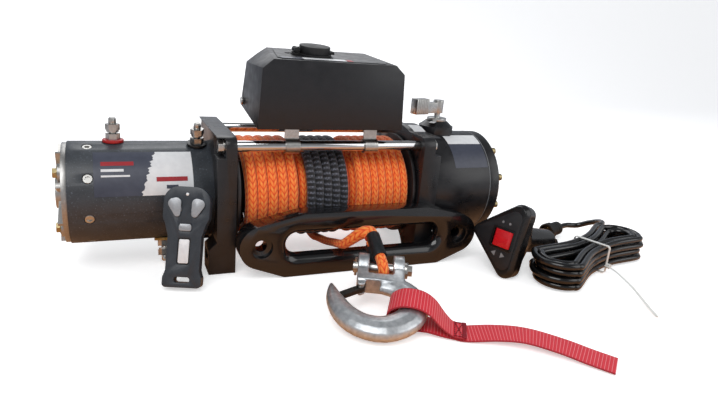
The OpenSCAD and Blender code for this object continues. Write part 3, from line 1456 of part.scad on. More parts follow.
// How far out a loop lies, in steps, and how many layers up, after t loops
function loop_out(t) = abs(2 - (t % 4));
function loop_up(t) = let (half = hank_layers > 1 ? [for (k = [1 : hank_layers - 1])
    min(1, max(0, (t - 2 * k + 0.25) / 0.5))] : [0]) half * [for (k = half) 1];
function loop_place(n) =
    let (t = n / loop_rings, k = n % loop_rings, lobe = lobe_r + loop_out(t) * loop_step,
         waist = waist_r + loop_out(t) * loop_step, run = loop_rings / 2,
         turn = 180 / cap_rings)
        k <= cap_rings ? [hank_half + lobe * cos(90 - turn * k), lobe * sin(90 - turn * k)]
        : k < run ? [hank_half * (k == cap_rings + 1 ? 0.34 : -0.34), -waist]
        : k <= run + cap_rings
            ? [-hank_half + lobe * cos(-90 - turn * (k - run)), lobe * sin(-90 - turn * (k - run))]
        : [hank_half * (k == run + cap_rings + 1 ? -0.34 : 0.34), waist];
hank_line = [for (n = [0 : hank_loops * loop_rings]) let (q = loop_place(n))
    [q[0], q[1], hank_lift + cable_r + layer_step * loop_up(n / loop_rings)]];
hank_ends = [hank_line[0] - [cable_r * 2, 0, 0], hank_line[len(hank_line) - 1] + [cable_r * 2, 0, 0]];
hank_whole = concat([hank_ends[0]], hank_line, [hank_ends[1]]);
hank_rings = [for (n = [0 : len(hank_whole) - 1])
    let (along = n == 0 || n == len(hank_whole) - 1 ? [1, 0, 0] : heading(hank_whole, n),
         side = unit(cross(along, [0, 0, 1])), up = cross(side, along))
        ring(hank_whole[n], side, up, cable_r, cable_r, wound_sides)];
echo(gap_cable_hank = min([for (n = [0 : len(hank_rings) - 1])
    for (m = [n + 13 : 1 : len(hank_rings) - 1]) if (norm(hank_whole[n] - hank_whole[m]) < 4 * cable_r)
        for (p = hank_rings[n]) for (q = hank_rings[m]) norm(p - q)]));

module cable_hank() color(rubber_black) at_hank() swept(hank_rings);

// The grip's end, in the frame of the whole
function from_wired(q) = let (
    y = q[1] * cos(wired_drop) - q[2] * sin(wired_drop), z = q[1] * sin(wired_drop) + q[2] * cos(wired_drop)
) wired_at + [
    q[0] * cos(wired_turn) - y * sin(wired_turn), q[0] * sin(wired_turn) + y * cos(wired_turn), z
];
grip_end = from_wired([grip_x, wired_l + gland_l, grip_z]);
grip_out = from_wired([grip_x, wired_l + gland_l + 3 * cable_r, grip_z]);
lead_route = concat([to_hank(grip_end), to_hank(grip_out)],
    [[14, 52, 7], [35, 46, 5.8], [54, 38, 5.8]], [hank_ends[0] - [2 * cable_r, 0, 0], hank_ends[0]]);
tail_route = concat([hank_ends[1]], [
    [98, 32.6, 32], [112, 37, 31], [124, 48, 27], [128, 63, 20], [122, 78, 12], [108, 87, 12],
    [94, 89, 12], [80, 89, 12]
]);
cord_sides = 8;
lead_line = smooth(lead_route, 2);
tail_line = smooth(tail_route, 2);

module free_cord(route) swept(cord_rings(route, [for (q = route) cable_r], cord_sides, [0, 0, 1]));

module cable_lead() color(rubber_black) {
    at_hank() free_cord(lead_line);
    at_wired() translate([grip_x, wired_l - gland_deep, grip_z]) rotate([-90, 0, 0])
        cylinder(h = gland_l + gland_deep, r = gland_r);
}
module cable_tail() color(rubber_black) at_hank() free_cord(tail_line);

plug_r = 10;
plug_l = 34;
plug_body_l = 22;
plug_ring_r = 12;
plug_wall = 2;

module remote_plug() color(rubber_black)
at_hank() translate(tail_line[len(tail_line) - 1]) rotate([0, -90, 0]) difference() {
    union() {
        cylinder(h = plug_body_l, r = plug_r);
        translate([0, 0, plug_body_l - over]) cylinder(h = plug_l - plug_body_l, r = plug_ring_r);
    }
    translate([0, 0, plug_body_l + plug_wall]) cylinder(h = plug_l, r = plug_ring_r - plug_wall);
}

tie_w = 4;
tie_t = 1;
tie_gap = 0.4;
tie_half = waist_r + 1.82 * loop_step + cable_r + 3 * tie_gap;
tie_h = cable_r * 2 + layer_step * (hank_layers - 1) + 2 * tie_gap;
tie_head = 5;
tie_head_z = 9;
tie_route = [[-3, -24, 12], [-10, -40, 12], [-30, -70, 8], [-54, -98, 3], [-70, -116, 0.8]];
tie_line = smooth(tie_route, 3);

module cable_tie() color([0.92, 0.92, 0.92]) at_hank() {
    translate([-tie_w / 2, 0, hank_lift - tie_gap]) rotate([90, 0, 90]) linear_extrude(tie_w) difference() {
        translate([0, -tie_t]) rounded(2 * tie_half + 2 * tie_t, tie_h + 2 * tie_t, 4 * tie_t);
        rounded(2 * tie_half, tie_h, 3 * tie_t);
    }
    translate([-tie_head / 2, -tie_half - tie_t - tie_head, tie_head_z])
        cube([tie_head, tie_head + tie_t / 2, tie_head]);
    swept([for (n = [0 : len(tie_line) - 1]) let (along = heading(tie_line, n),
        side = unit(cross(along, [0, 0, 1])), up = cross(side, along))
        ring(tie_line[n], side, up, tie_w / 2, tie_t / 2, wound_sides)]);
}

motor_bracket();
gear_bracket();
tie_rods();
tie_rod_bolts();
drum();
drum_bushes();
brake_core();
rope_core();
rope_turns_motor_side();
rope_sleeve_turns();
rope_turns_gear_side();
motor_can();
motor_end_cap();
end_cap_bolts();
can_screws();
field_poles();
armature();
brush_ring();
drive_shaft();
terminal_insulators();
terminal_studs();
terminal_nuts();
gearbox_housing();
gearbox_cover();
cover_screws();
ring_gear();
planet_gear_a();
planet_gear_b();
planet_gear_c();
planet_carrier();
reduction_unit();
clutch_housing();
clutch_lever();
clutch_pin();
control_box_cover();
control_box_base();
contactor();
box_straps();
box_screws();
socket_housing();
socket_cap();
fairlead();
rope_tail();
thimble();
hook();
clevis_pin();
hook_latch();
latch_spring();
pull_strap();
wireless_case();
wireless_button_in();
wireless_button_out();
wireless_button_power();
handset_shell();
rocker_switch();
cable_lead();
cable_hank();
cable_tail();
remote_plug();
cable_tie();
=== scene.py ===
"""An electric recovery winch: its finishes and soft pieces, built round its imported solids."""

import json
import math

import bmesh
import bpy
import numpy as np
from mathutils import Matrix, Vector

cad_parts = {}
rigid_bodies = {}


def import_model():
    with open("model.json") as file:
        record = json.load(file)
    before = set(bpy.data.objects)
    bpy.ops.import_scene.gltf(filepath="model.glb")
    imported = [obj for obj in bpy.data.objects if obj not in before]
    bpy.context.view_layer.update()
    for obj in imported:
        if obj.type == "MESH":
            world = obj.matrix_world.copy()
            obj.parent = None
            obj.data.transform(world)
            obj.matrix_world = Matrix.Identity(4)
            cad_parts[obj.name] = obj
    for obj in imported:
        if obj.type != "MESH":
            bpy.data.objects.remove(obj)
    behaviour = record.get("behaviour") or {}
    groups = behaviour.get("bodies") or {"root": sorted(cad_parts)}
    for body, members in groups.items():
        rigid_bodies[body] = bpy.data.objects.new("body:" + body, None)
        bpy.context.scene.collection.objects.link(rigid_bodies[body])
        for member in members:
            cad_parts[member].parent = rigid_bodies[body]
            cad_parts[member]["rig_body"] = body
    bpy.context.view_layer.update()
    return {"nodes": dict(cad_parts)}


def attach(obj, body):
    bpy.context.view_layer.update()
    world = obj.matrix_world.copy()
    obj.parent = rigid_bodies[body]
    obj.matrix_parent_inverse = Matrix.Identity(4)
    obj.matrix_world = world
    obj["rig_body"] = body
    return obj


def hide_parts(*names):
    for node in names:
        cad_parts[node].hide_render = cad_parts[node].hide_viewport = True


bl_info = {
    "name": "Recovery winch",
    "version": (1, 0, 0),
    "blender": (4, 5, 0),
    "location": "View3D > Sidebar > Winch",
    "description": "Builds the finishes and the soft pieces of an electric recovery winch",
    "category": "Object",
}

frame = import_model()

MM = 0.001

# Places of the winch in millimetres, as its solids have them
AXIS_H = 81.0
HOUSING_SEAM = 223.25
COVER_END = 240.75
CAN_REAR = -282.55
CAN_SCREWS_X = CAN_REAR + 20
END_CAP_REAR = CAN_REAR - 8
GEARBOX_R = 70.0
MOTOR_R = 56.0
LAYER_R = 58.0
LAYER_FROM = -108.1
LAYER_L = 216.2
LAYER_STEP = 9.4
WINDING_START = math.radians(-60)
ROPE_R = 5.0
PIN_AT = np.array([25.0, -160.0, 30.5])
LIP_AT = np.array([6.0, -84.3, 24.6])
HOOK_L = 114.0
HOOK_TURN = -25
STRAP_TURN = -32.7
CABLE_R = 4.0

# How far a plait's strands lean, and how blunt they are along and across their column
STRAND_LEAN = 0.9
STRAND_BLUNT = 0.7
COLUMN_BLUNT = 0.35


def placed(at, turn=0.0, tilt=0.0):
    """A place in millimetres, turned about Z after a tilt about X, both in degrees."""
    return (
        Matrix.Translation(Vector(at) * MM)
        @ Matrix.Rotation(math.radians(turn), 4, "Z")
        @ Matrix.Rotation(math.radians(tilt), 4, "X")
    )


ROOF_TILT = math.degrees(math.atan(7.5 / 73))
AT_ROOF = placed((-24, -38.6, 240.5 + 34 * math.tan(math.radians(ROOF_TILT))), 0, ROOF_TILT)
AT_HOOK = placed(PIN_AT, HOOK_TURN, 11)
AT_LATCH = AT_HOOK @ placed((-20, -37, 0), 217)
AT_POCKET = placed((-174, -94.1, 0), -20, -20)
AT_HANDSET = placed((186, -147, 1), -72, -13.5)
AT_HANK = placed((335, -154, 0), 20)
# Turns a flat outline in X and Y to face the front, so that it grows towards -Y
FACING = Matrix.Rotation(math.radians(90), 4, "X")
# Turns a ring about Z to the drum's axis
ACROSS = Matrix(((0, 0, 1, 0), (1, 0, 0, 0), (0, 1, 0, 0), (0, 0, 0, 1)))


def linear(hex_colour):
    """A colour written as sRGB hex, in the linear values that the shaders take."""
    values = [int(hex_colour[k : k + 2], 16) / 255 for k in (1, 3, 5)]
    return [v / 12.92 if v <= 0.04045 else ((v + 0.055) / 1.055) ** 2.4 for v in values] + [1.0]


def add(tree, kind, inputs=None, **settings):
    """Adds a node with its settings and links.

    An input is a value, a socket, a node whose first live output is meant, or a sum such as
    ("ADD", a, b), which becomes a Math node.
    """
    made = tree.nodes.new(kind)
    for key, value in settings.items():
        setattr(made, key, value)
    for key, value in (inputs or {}).items():
        if isinstance(value, tuple) and isinstance(value[0], str):
            value = add(tree, "ShaderNodeMath", dict(enumerate(value[1:])), operation=value[0])
        if isinstance(value, bpy.types.Node):
            value = next(s for s in value.outputs if s.enabled)
        if isinstance(value, bpy.types.NodeSocket):
            tree.links.new(value, made.inputs[key])
        else:
            made.inputs[key].default_value = value
    return made


def plait(along, around, columns, pitch):
    """The strands of a plait as a sum for Math nodes: 0 between them and 1 on their backs."""
    column = ("MULTIPLY", around, columns)
    lean = ("MULTIPLY", ("PINGPONG", column, 1.0), STRAND_LEAN)
    phase = ("MULTIPLY", ("ADD", ("DIVIDE", along, pitch), lean), math.pi)
    strand = ("POWER", ("ABSOLUTE", ("SINE", phase)), STRAND_BLUNT)
    edge = ("POWER", ("ABSOLUTE", ("SINE", ("MULTIPLY", column, math.pi))), COLUMN_BLUNT)
    return ("MULTIPLY", strand, edge)


def new_material(name, colour, roughness, metallic=0.0, **sockets):
    """A material with one Principled shader; constant values go on the shader's own sockets."""
    made = bpy.data.materials.new(name)
    made.use_nodes = True
    shader = made.node_tree.nodes["Principled BSDF"]
    shader.inputs["Base Color"].default_value = linear(colour)
    shader.inputs["Roughness"].default_value = roughness
    shader.inputs["Metallic"].default_value = metallic
    for key, value in sockets.items():
        shader.inputs[key.replace("_", " ")].default_value = value
    return made, made.node_tree, shader


def painted(made, tree, shader, shade, relief=0.0, strength=0.8, height=None):
    """Leads a shade into a material's shader, and a height as its relief in millimetres."""
    tree.links.new(next(s for s in shade.outputs if s.enabled), shader.inputs["Base Color"])
    if relief:
        bump = add(tree, "ShaderNodeBump", {"Strength": strength, "Distance": relief * MM, "Height": height})
        tree.links.new(bump.outputs[0], shader.inputs["Normal"])
    return made


def grained(name, colour, other, grain, roughness, metallic=0.0, relief=0.0, fleck=None, wear=None,
            stretch=(1, 1, 1), **sockets):
    """A finish of two shades in patches, with its own roughness and relief.

    grain is the size of a patch and relief its height, in millimetres. roughness holds the lowest
    and the highest. fleck is a colour and how rare its specks are, and wear the colour of rubbed edges.
    """
    made, tree, shader = new_material(name, colour, roughness[0], metallic, **sockets)
    places = add(tree, "ShaderNodeTexCoord").outputs["Object"]
    places = add(tree, "ShaderNodeMapping", {"Vector": places, "Scale": stretch})
    fine = add(tree, "ShaderNodeTexNoise", {"Vector": places, "Scale": 1 / (grain * MM), "Detail": 3.0})
    broad = add(tree, "ShaderNodeTexNoise", {"Vector": places, "Scale": 0.12 / (grain * MM), "Detail": 2.0})
    mixed = add(tree, "ShaderNodeMapRange", {
        "Value": ("MULTIPLY", ("ADD", fine, broad), 0.5), "From Min": 0.36, "From Max": 0.64})
    shade = add(tree, "ShaderNodeMix", {0: mixed, 6: linear(colour), 7: linear(other)},
                data_type="RGBA", name="Shades")
    if fleck:
        speck_colour, rare = fleck
        specks = add(tree, "ShaderNodeMapRange", {
            "Value": fine, "From Min": rare, "From Max": rare + 0.05})
        shade = add(tree, "ShaderNodeMix", {0: specks, 6: shade, 7: linear(speck_colour)}, data_type="RGBA")
    if wear:
        edges = add(tree, "ShaderNodeNewGeometry").outputs["Pointiness"]
        rubbed = add(tree, "ShaderNodeMapRange", {
            "Value": edges, "From Min": 0.53, "From Max": 0.6, "To Max": 0.7})
        rubbed = add(tree, "ShaderNodeMath", {0: rubbed, 1: broad}, operation="MULTIPLY")
        shade = add(tree, "ShaderNodeMix", {0: rubbed, 6: shade, 7: linear(wear)}, data_type="RGBA")
    matt = add(tree, "ShaderNodeMapRange", {
        "Value": broad, "From Min": 0.3, "From Max": 0.7, "To Min": roughness[0], "To Max": roughness[1]})
    tree.links.new(matt.outputs[0], shader.inputs["Roughness"])
    return painted(made, tree, shader, shade, relief, height=fine)


def plaited(name, shades, columns, pitch, relief, ticks=None):
    """Plaited fibre on a piece whose UV map holds metres along it and shares round it.

    shades are the colour painted between the strands as shade, the colour on them, and the pale colour on
    their crests, which on the rope is a painted highlight.
    """
    made, tree, shader = new_material(name, shades[1], 0.75, Sheen_Weight=0.25)
    way = add(tree, "ShaderNodeSeparateXYZ", {0: add(tree, "ShaderNodeUVMap", uv_map="UVMap")})
    kind, *terms = plait(way.outputs["X"], way.outputs["Y"], columns, pitch)
    height = add(tree, "ShaderNodeMath", dict(enumerate(terms)), operation=kind)
    fibre = add(tree, "ShaderNodeTexNoise", {
        "Vector": add(tree, "ShaderNodeTexCoord").outputs["Object"], "Scale": 420.0, "Detail": 3.0})
    # A painted shade: the colour darkens from the strands' backs into the gaps between them
    low = add(tree, "ShaderNodeMapRange", {"Value": height, "From Min": 0.0, "From Max": 0.5})
    shade = add(tree, "ShaderNodeMix", {0: low, 6: linear(shades[0]), 7: linear(shades[1])},
                data_type="RGBA", name="Shades")
    # The pale colour on the strands' crests: a painted highlight on the rope, cut into ticks where ticks are
    # given
    crest_highlight_and_ticks = ("MULTIPLY", ("POWER", height, 2.0), ("MULTIPLY", fibre, 1.5))
    if ticks:
        every = ("GREATER_THAN", ("SINE", ("MULTIPLY", way.outputs["X"], math.pi / ticks)), 0.2)
        crest_highlight_and_ticks = ("MULTIPLY", crest_highlight_and_ticks, every)
    shade = add(tree, "ShaderNodeMix", {0: crest_highlight_and_ticks, 6: shade, 7: linear(shades[2])}, data_type="RGBA")
    return painted(made, tree, shader, shade, relief, 0.7, ("ADD", height, ("MULTIPLY", fibre, 0.3)))


def webbing(name):
    """Woven polyester webbing: red ribs across the strap, with pale lines at the ribs painted as a highlight.
    """
    made, tree, shader = new_material(name, "#c30f2b", 0.6, Sheen_Weight=0.2)
    way = add(tree, "ShaderNodeSeparateXYZ", {0: add(tree, "ShaderNodeUVMap", uv_map="UVMap")})
    # The ribs are a little coarser than real ones, so that they show
    rib_pitch, yarns, bound_from = 3.2 * MM, 20, 0.46
    ribs = ("ABSOLUTE", ("SINE", ("MULTIPLY", way.outputs["X"], math.pi / rib_pitch)))
    ribs = add(tree, "ShaderNodeMath", {0: ribs, 1: 0.6}, operation="POWER")
    yarn = ("ABSOLUTE", ("SINE", ("MULTIPLY", way.outputs["Y"], yarns * math.pi)))
    red = add(tree, "ShaderNodeMix", {0: yarn, 6: linear("#c40820"), 7: linear("#e0102c")}, data_type="RGBA")
    # A painted highlight: pale lines across the strap where the ribs dip
    light = add(tree, "ShaderNodeMapRange", {
        "Value": ribs, "From Min": 0.2, "From Max": 0.5, "To Min": 0.8, "To Max": 0.0})
    shade = add(tree, "ShaderNodeMix", {0: light, 6: red, 7: linear("#ffa9b0")}, data_type="RGBA")
    bound = ("GREATER_THAN", ("ABSOLUTE", ("SUBTRACT", way.outputs["Y"], 0.5)), bound_from)
    shade = add(tree, "ShaderNodeMix", {0: bound, 6: shade, 7: linear("#a80a20")}, data_type="RGBA")
    return painted(made, tree, shader, shade, 0.35, height=("ADD", ribs, ("MULTIPLY", yarn, 0.3)))


def moulded_insulators(name):
    """Moulded insulators: red at the rear stud, black at the front one, brass under the can."""
    made, tree, shader = new_material(name, "#a01818", 0.35)
    places = add(tree, "ShaderNodeTexCoord").outputs["Object"]
    along = add(tree, "ShaderNodeSeparateXYZ", {0: places}).outputs["X"]
    # Places along the motor, in metres, from which the brass one and the black one stand
    brass_from, black_from = -0.212, -0.168
    shade = add(tree, "ShaderNodeMix", {
        0: ("GREATER_THAN", along, brass_from), 6: linear("#b01c1c"), 7: linear("#a9853f")}, data_type="RGBA")
    shade = add(tree, "ShaderNodeMix", {
        0: ("GREATER_THAN", along, black_from), 6: shade, 7: linear("#161616")}, data_type="RGBA")
    grain = add(tree, "ShaderNodeTexNoise", {"Vector": places, "Scale": 900.0})
    return painted(made, tree, shader, shade, 0.05, 0.4, grain)


def pale_paper(name):
    """Seamless studio paper: white to the camera, and warm near the object in what mirrors it."""
    made, tree, warm = new_material(name, "#dfb08a", 0.9)
    places = add(tree, "ShaderNodeTexCoord").outputs["Object"]
    away = add(tree, "ShaderNodeVectorMath", {0: places}, operation="LENGTH")
    pale = add(tree, "ShaderNodeMapRange", {
        "Value": away.outputs["Value"], "From Min": 0.35, "From Max": 1.0})
    shade = add(tree, "ShaderNodeMix", {
        0: pale, 6: linear("#eeae7c"), 7: linear("#cfd3da")}, data_type="RGBA")
    painted(made, tree, warm, shade)
    white = add(tree, "ShaderNodeBsdfPrincipled", {
        "Base Color": linear("#f4f4f4"), "Roughness": 0.9, "Emission Color": linear("#ffffff"),
        "Emission Strength": 0.5})
    seen = add(tree, "ShaderNodeLightPath").outputs["Is Camera Ray"]
    mixed = add(tree, "ShaderNodeMixShader", {0: seen, 1: warm, 2: white})
    tree.links.new(mixed.outputs[0], tree.nodes["Material Output"].inputs["Surface"])
    return made


FINISHES = {
    # Black powder coat on cast aluminium: a wide sheen over fine orange peel, worn paler on its edges
    "casting_powder_coated_black": lambda name: grained(
        name, "#161618", "#1e1e21", 1.6, (0.26, 0.38), relief=0.04, wear="#3a3a3d"),
    # Textured powder coat on the drawn motor can: dark grey, specks drawn at 1.6 mm so that they show
    "can_powder_coated_grey": lambda name: grained(
        name, "#303439", "#3a3f45", 1.6, (0.34, 0.46), relief=0.06, fleck=("#5a616b", 0.64)),
    # Gloss paint on the cast fairlead: deep black with long soft highlights
    "fairlead_gloss_black": lambda name: grained(
        name, "#0b0b0d", "#111113", 4.0, (0.14, 0.24), relief=0.02, Coat_Weight=0.5),
    # Bright zinc plate on steel: pale, slightly cloudy metal
    "steel_zinc_plated": lambda name: grained(
        name, "#c9c8c4", "#b2b1ae", 3.0, (0.24, 0.36), metallic=1.0, relief=0.01),
    # Yellow passivated zinc: the same metal with a straw tint
    "steel_zinc_yellow": lambda name: grained(
        name, "#b7a67c", "#a2936e", 2.0, (0.3, 0.42), metallic=1.0, relief=0.01),
    # Die-cast zinc end cap: paler and duller than plate
    "end_cap_die_cast": lambda name: grained(
        name, "#b9b8b5", "#a5a4a2", 2.2, (0.34, 0.46), metallic=1.0, relief=0.04),
    # Hard chrome on the tie rods: a near mirror
    "rod_hard_chrome": lambda name: grained(
        name, "#d6d6d6", "#cccccd", 6.0, (0.07, 0.12), metallic=1.0),
    # Turned and ground steel of shafts and wheels, with an oily film
    "steel_ground": lambda name: grained(
        name, "#8f9193", "#7d7f82", 1.5, (0.3, 0.42), metallic=1.0, relief=0.01),
    # Dark phosphated steel drum flanges and tube
    "drum_steel_phosphated": lambda name: grained(
        name, "#3b3a3b", "#474546", 2.5, (0.34, 0.48), metallic=0.8, relief=0.03, wear="#77777a"),
    # Nylon of the bushes: ivory, slightly waxy
    "bush_nylon": lambda name: grained(name, "#d8cfae", "#cfc5a2", 3.0, (0.4, 0.5), relief=0.01),
    # Sintered brake lining: brown and crumbly
    "brake_lining_sintered": lambda name: grained(name, "#5a4c3e", "#6b5a49", 1.2, (0.7, 0.85), relief=0.08),
    # Enamelled copper: reddish metal in streaks along the armature
    "winding_enamelled_copper": lambda name: grained(
        name, "#b5683c", "#9c5631", 1.0, (0.28, 0.4), metallic=0.9, relief=0.08, stretch=(0.1, 1, 1)),
    # Ferrite magnets: dull charcoal ceramic
    "magnet_ferrite": lambda name: grained(name, "#2b2b2d", "#353538", 1.5, (0.6, 0.7), relief=0.04),
    # Pressed paper board: brown and fibrous
    "board_pressed_paper": lambda name: grained(name, "#54402c", "#624b34", 1.0, (0.6, 0.75), relief=0.03),
    # Moulded insulators in their three colours
    "insulator_moulded": moulded_insulators,
    # Plaited polyethylene rope, coated orange: painted shade between the strands and a pale painted highlight
    # on their crests
    "rope_plaited_orange": lambda name: plaited(name, ("#cf3a06", "#ff5a10", "#ffb454"), 8, 7 * MM, 0.2),
    # Woven polyester sleeve: black, with painted shade between the strands and grey ticks on their crests
    "sleeve_woven_black": lambda name: plaited(
        name, ("#08080b", "#141419", "#8a90a0"), 16, 4 * MM, 0.1, ticks=3 * MM),
    # Fine-grained black ABS of the control box: bluish black with a satin sheen
    "box_abs_black": lambda name: grained(name, "#121317", "#18191e", 1.2, (0.34, 0.46), relief=0.04),
    # Matt rubber: sooty black that takes hardly any highlight
    "rubber_matt_black": lambda name: grained(name, "#111111", "#181818", 1.4, (0.5, 0.65), relief=0.05),
    # Black rubbery shell of the wired remote, satin, glossier where a hand has rubbed it
    "handset_soft_shell": lambda name: grained(name, "#0c0c0d", "#131314", 8.0, (0.22, 0.34), relief=0.01),
    # Its face is a duller grained panel
    "handset_face_grained": lambda name: grained(name, "#1a1b1e", "#212226", 1.1, (0.4, 0.52), relief=0.04),
    # Forged hook, zinc plated over a blasted skin: pale and cloudy, bright on its edges
    "hook_forged_zinc": lambda name: grained(
        name, "#dfe2e4", "#aeb3b7", 5.0, (0.3, 0.46), metallic=0.85, relief=0.1, wear="#f2f3f3"),
    # Dark plated thimble: gunmetal with a soft shine
    "thimble_dark_plated": lambda name: grained(
        name, "#3a3d40", "#4a4d51", 3.0, (0.32, 0.44), metallic=0.8, relief=0.03),
    # Latch of darkened spring steel: brownish black
    "latch_dark_steel": lambda name: grained(
        name, "#3a3835", "#4d4a46", 2.0, (0.36, 0.5), metallic=0.8, relief=0.03),
    # Red webbing, with pale lines across its ribs painted as a highlight
    "strap_webbing_red": webbing,
    # Polyester thread of the seam: dark red, matt
    "thread_polyester": lambda name: grained(name, "#7c0b1c", "#931024", 0.8, (0.7, 0.8), relief=0.04),
    # Satin slate ABS of the wireless remote
    "remote_abs_slate": lambda name: grained(name, "#2b3138", "#333a42", 1.3, (0.34, 0.44), relief=0.03),
    # Keys of silver-painted ABS: pale grey with a faint metal sheen
    "key_silver_abs": lambda name: grained(
        name, "#a9adb1", "#999da2", 2.0, (0.3, 0.38), metallic=0.4, relief=0.01),
    # Milky window and lamp: glossy white
    "window_white": lambda name: grained(name, "#e4e6e8", "#d9dbde", 4.0, (0.2, 0.3), Coat_Weight=0.4),
    # Dark recess round the window
    "window_recess_dark": lambda name: grained(name, "#0b0c0e", "#101114", 1.5, (0.4, 0.5), relief=0.02),
    # Glossy red polycarbonate rocker
    "rocker_red_gloss": lambda name: grained(name, "#d81a26", "#c8131f", 5.0, (0.22, 0.32), Coat_Weight=0.3),
    # PVC jacket of the cable: smooth, black and wet-looking
    "cable_pvc_black": lambda name: grained(
        name, "#070708", "#0d0d0e", 6.0, (0.14, 0.24), relief=0.02, Coat_Weight=0.3),
    # Nylon of the cable tie: translucent-looking white
    "tie_nylon_white": lambda name: grained(name, "#e6e6e3", "#dadad6", 2.5, (0.4, 0.5), relief=0.01),
    # Grey marks printed on dark plastic, and the grey sealant of a seam
    "mark_grey_print": lambda name: grained(name, "#8b8e92", "#7f8286", 2.0, (0.5, 0.6)),
    # White vinyl of the labels: smooth, a little cloudy
    "label_vinyl_white": lambda name: grained(name, "#dfe0e1", "#d3d4d6", 6.0, (0.36, 0.46), relief=0.01),
    # Slate vinyl of the labels' dark parts
    "label_vinyl_slate": lambda name: grained(name, "#3a3e4b", "#434755", 6.0, (0.3, 0.4), relief=0.01),
    # Red vinyl of small plain bars
    "label_vinyl_red": lambda name: grained(name, "#a31621", "#951420", 6.0, (0.36, 0.46), relief=0.01),
    # Seamless paper under and behind the object
    "studio_paper": pale_paper,
}


def finish(name):
    """The named finish, made when it is first asked for."""
    return bpy.data.materials.get(name) or FINISHES[name](name)


def settle(piece, finish_name, body="root", nodes=(), angle=35, outwards=True):
    """Gives a piece its finish, its shading, its body and the CAD nodes that it stands for."""
    mesh = piece.data
    if outwards:
        shape = bmesh.new()
        shape.from_mesh(mesh)
        bmesh.ops.recalc_face_normals(shape, faces=shape.faces)
        shape.to_mesh(mesh)
        shape.free()
    mesh.materials.clear()
    mesh.materials.append(finish(finish_name))
    mesh.polygons.foreach_set("material_index", [0] * len(mesh.polygons))
    mesh.polygons.foreach_set("use_smooth", [True] * len(mesh.polygons))
    mesh.set_sharp_from_angle(angle=math.radians(angle))
    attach(piece, body)
    if nodes:
        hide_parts(*nodes)
    return piece


def new_object(name, data):
    """An object at the origin, in the scene, with a mesh, a camera or a lamp."""
    piece = bpy.data.objects.new(name, data)
    bpy.context.scene.collection.objects.link(piece)
    return piece


def applied(piece):
    """Turns what a piece's modifiers make into its own plain mesh."""
    graph = bpy.context.evaluated_depsgraph_get()
    mesh = bpy.data.meshes.new_from_object(piece.evaluated_get(graph), preserve_all_data_layers=True,
                                           depsgraph=graph)
    piece.modifiers.clear()
    piece.data = mesh
    return piece


def merged(node, name):
    """A CAD node's shape as one closed mesh, with its flat faces joined."""
    shape = bmesh.new()
    shape.from_mesh(frame["nodes"][node].data)
    bmesh.ops.remove_doubles(shape, verts=shape.verts, dist=0.01 * MM)
    bmesh.ops.dissolve_limit(shape, angle_limit=math.radians(0.5), verts=shape.verts, edges=shape.edges)
    mesh = bpy.data.meshes.new(name)
    shape.to_mesh(mesh)
    shape.free()
    if "custom_normal" in mesh.attributes:
        mesh.attributes.remove(mesh.attributes["custom_normal"])
    return new_object(name, mesh)


def rounded_off(piece, edge, segments=2, angle=32):
    """Rounds the sharp edges of a piece by a radius in millimetres."""
    bevel = piece.modifiers.new("Rounded edges", "BEVEL")
    bevel.width = edge * MM
    bevel.segments = segments
    bevel.limit_method = "ANGLE"
    bevel.angle_limit = math.radians(angle)
    bevel.use_clamp_overlap = True
    bevel.harden_normals = False
    return applied(piece)


def dress(parts):
    """Finishes CAD nodes. Each part is node, finish, slot and the radius of its edges in millimetres; the
    slot is not used.

    Without a radius the node itself takes the finish, and with one a rounded copy stands for it.
    """
    for node, finish_name, slot, edge in parts:
        solid = frame["nodes"][node]
        if edge:
            piece = rounded_off(merged(node, node + "_finished"), edge)
            settle(piece, finish_name, solid["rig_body"], [node], outwards=False)
        else:
            solid.data.materials.clear()
            solid.data.materials.append(finish(finish_name))


def softened(node, finish_name, voxel, rounds):
    """A copy of a CAD node with its edges worn soft, as forged or moulded pieces have them."""
    piece = merged(node, node + "_finished")
    remesh = piece.modifiers.new("Remesh", "REMESH")
    remesh.mode = "VOXEL"
    remesh.voxel_size = voxel * MM
    smooth = piece.modifiers.new("Smooth", "SMOOTH")
    smooth.factor = 0.5
    smooth.iterations = rounds
    applied(piece)
    body = frame["nodes"][node]["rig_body"]
    return settle(piece, finish_name, body, [node], angle=80, outwards=False)


def built(name, points, faces):
    """An object from points in millimetres and faces."""
    mesh = bpy.data.meshes.new(name)
    mesh.from_pydata([Vector(p) * MM for p in points], [], faces)
    return new_object(name, mesh)


def put(piece, place):
    """Moves a piece's mesh to its place, with the object left at the origin."""
    piece.data.transform(place)
    return piece


def turned(name, profile, sides=32, ring=False):
    """A piece turned about Z from pairs of radius and height.

    A radius written as ("hex", size) is a hexagon across its flats. A ring has no ends to close.
    """
    points, faces, count = [], [], len(profile)
    for radius, height in profile:
        for k in range(sides):
            a = 2 * math.pi * k / sides
            r = radius
            if isinstance(radius, tuple):
                r = radius[1] / 2 / math.cos((a % (math.pi / 3)) - math.pi / 6)
            points.append((r * math.cos(a), r * math.sin(a), height))
    for n in range(count if ring else count - 1):
        for k in range(sides):
            a, b, m = n * sides, (n + 1) % count * sides, (k + 1) % sides
            faces.append((a + k, a + m, b + m, b + k))
    if not ring:
        faces.append(tuple(range(sides))[::-1])
        faces.append(tuple(range((count - 1) * sides, count * sides)))
    return built(name, points, faces)


def plate(name, outline, thick, place, edge=0.0):
    """A flat piece from an outline in X and Y, growing along its place's Z."""
    count = len(outline)
    points = [(x, y, z) for z in (0, thick) for x, y in outline]
    faces = [tuple(range(count))[::-1], tuple(range(count, 2 * count))]
    faces += [(k, (k + 1) % count, count + (k + 1) % count, count + k) for k in range(count)]
    piece = built(name, points, faces)
    if edge:
        rounded_off(piece, edge)
    return put(piece, place)


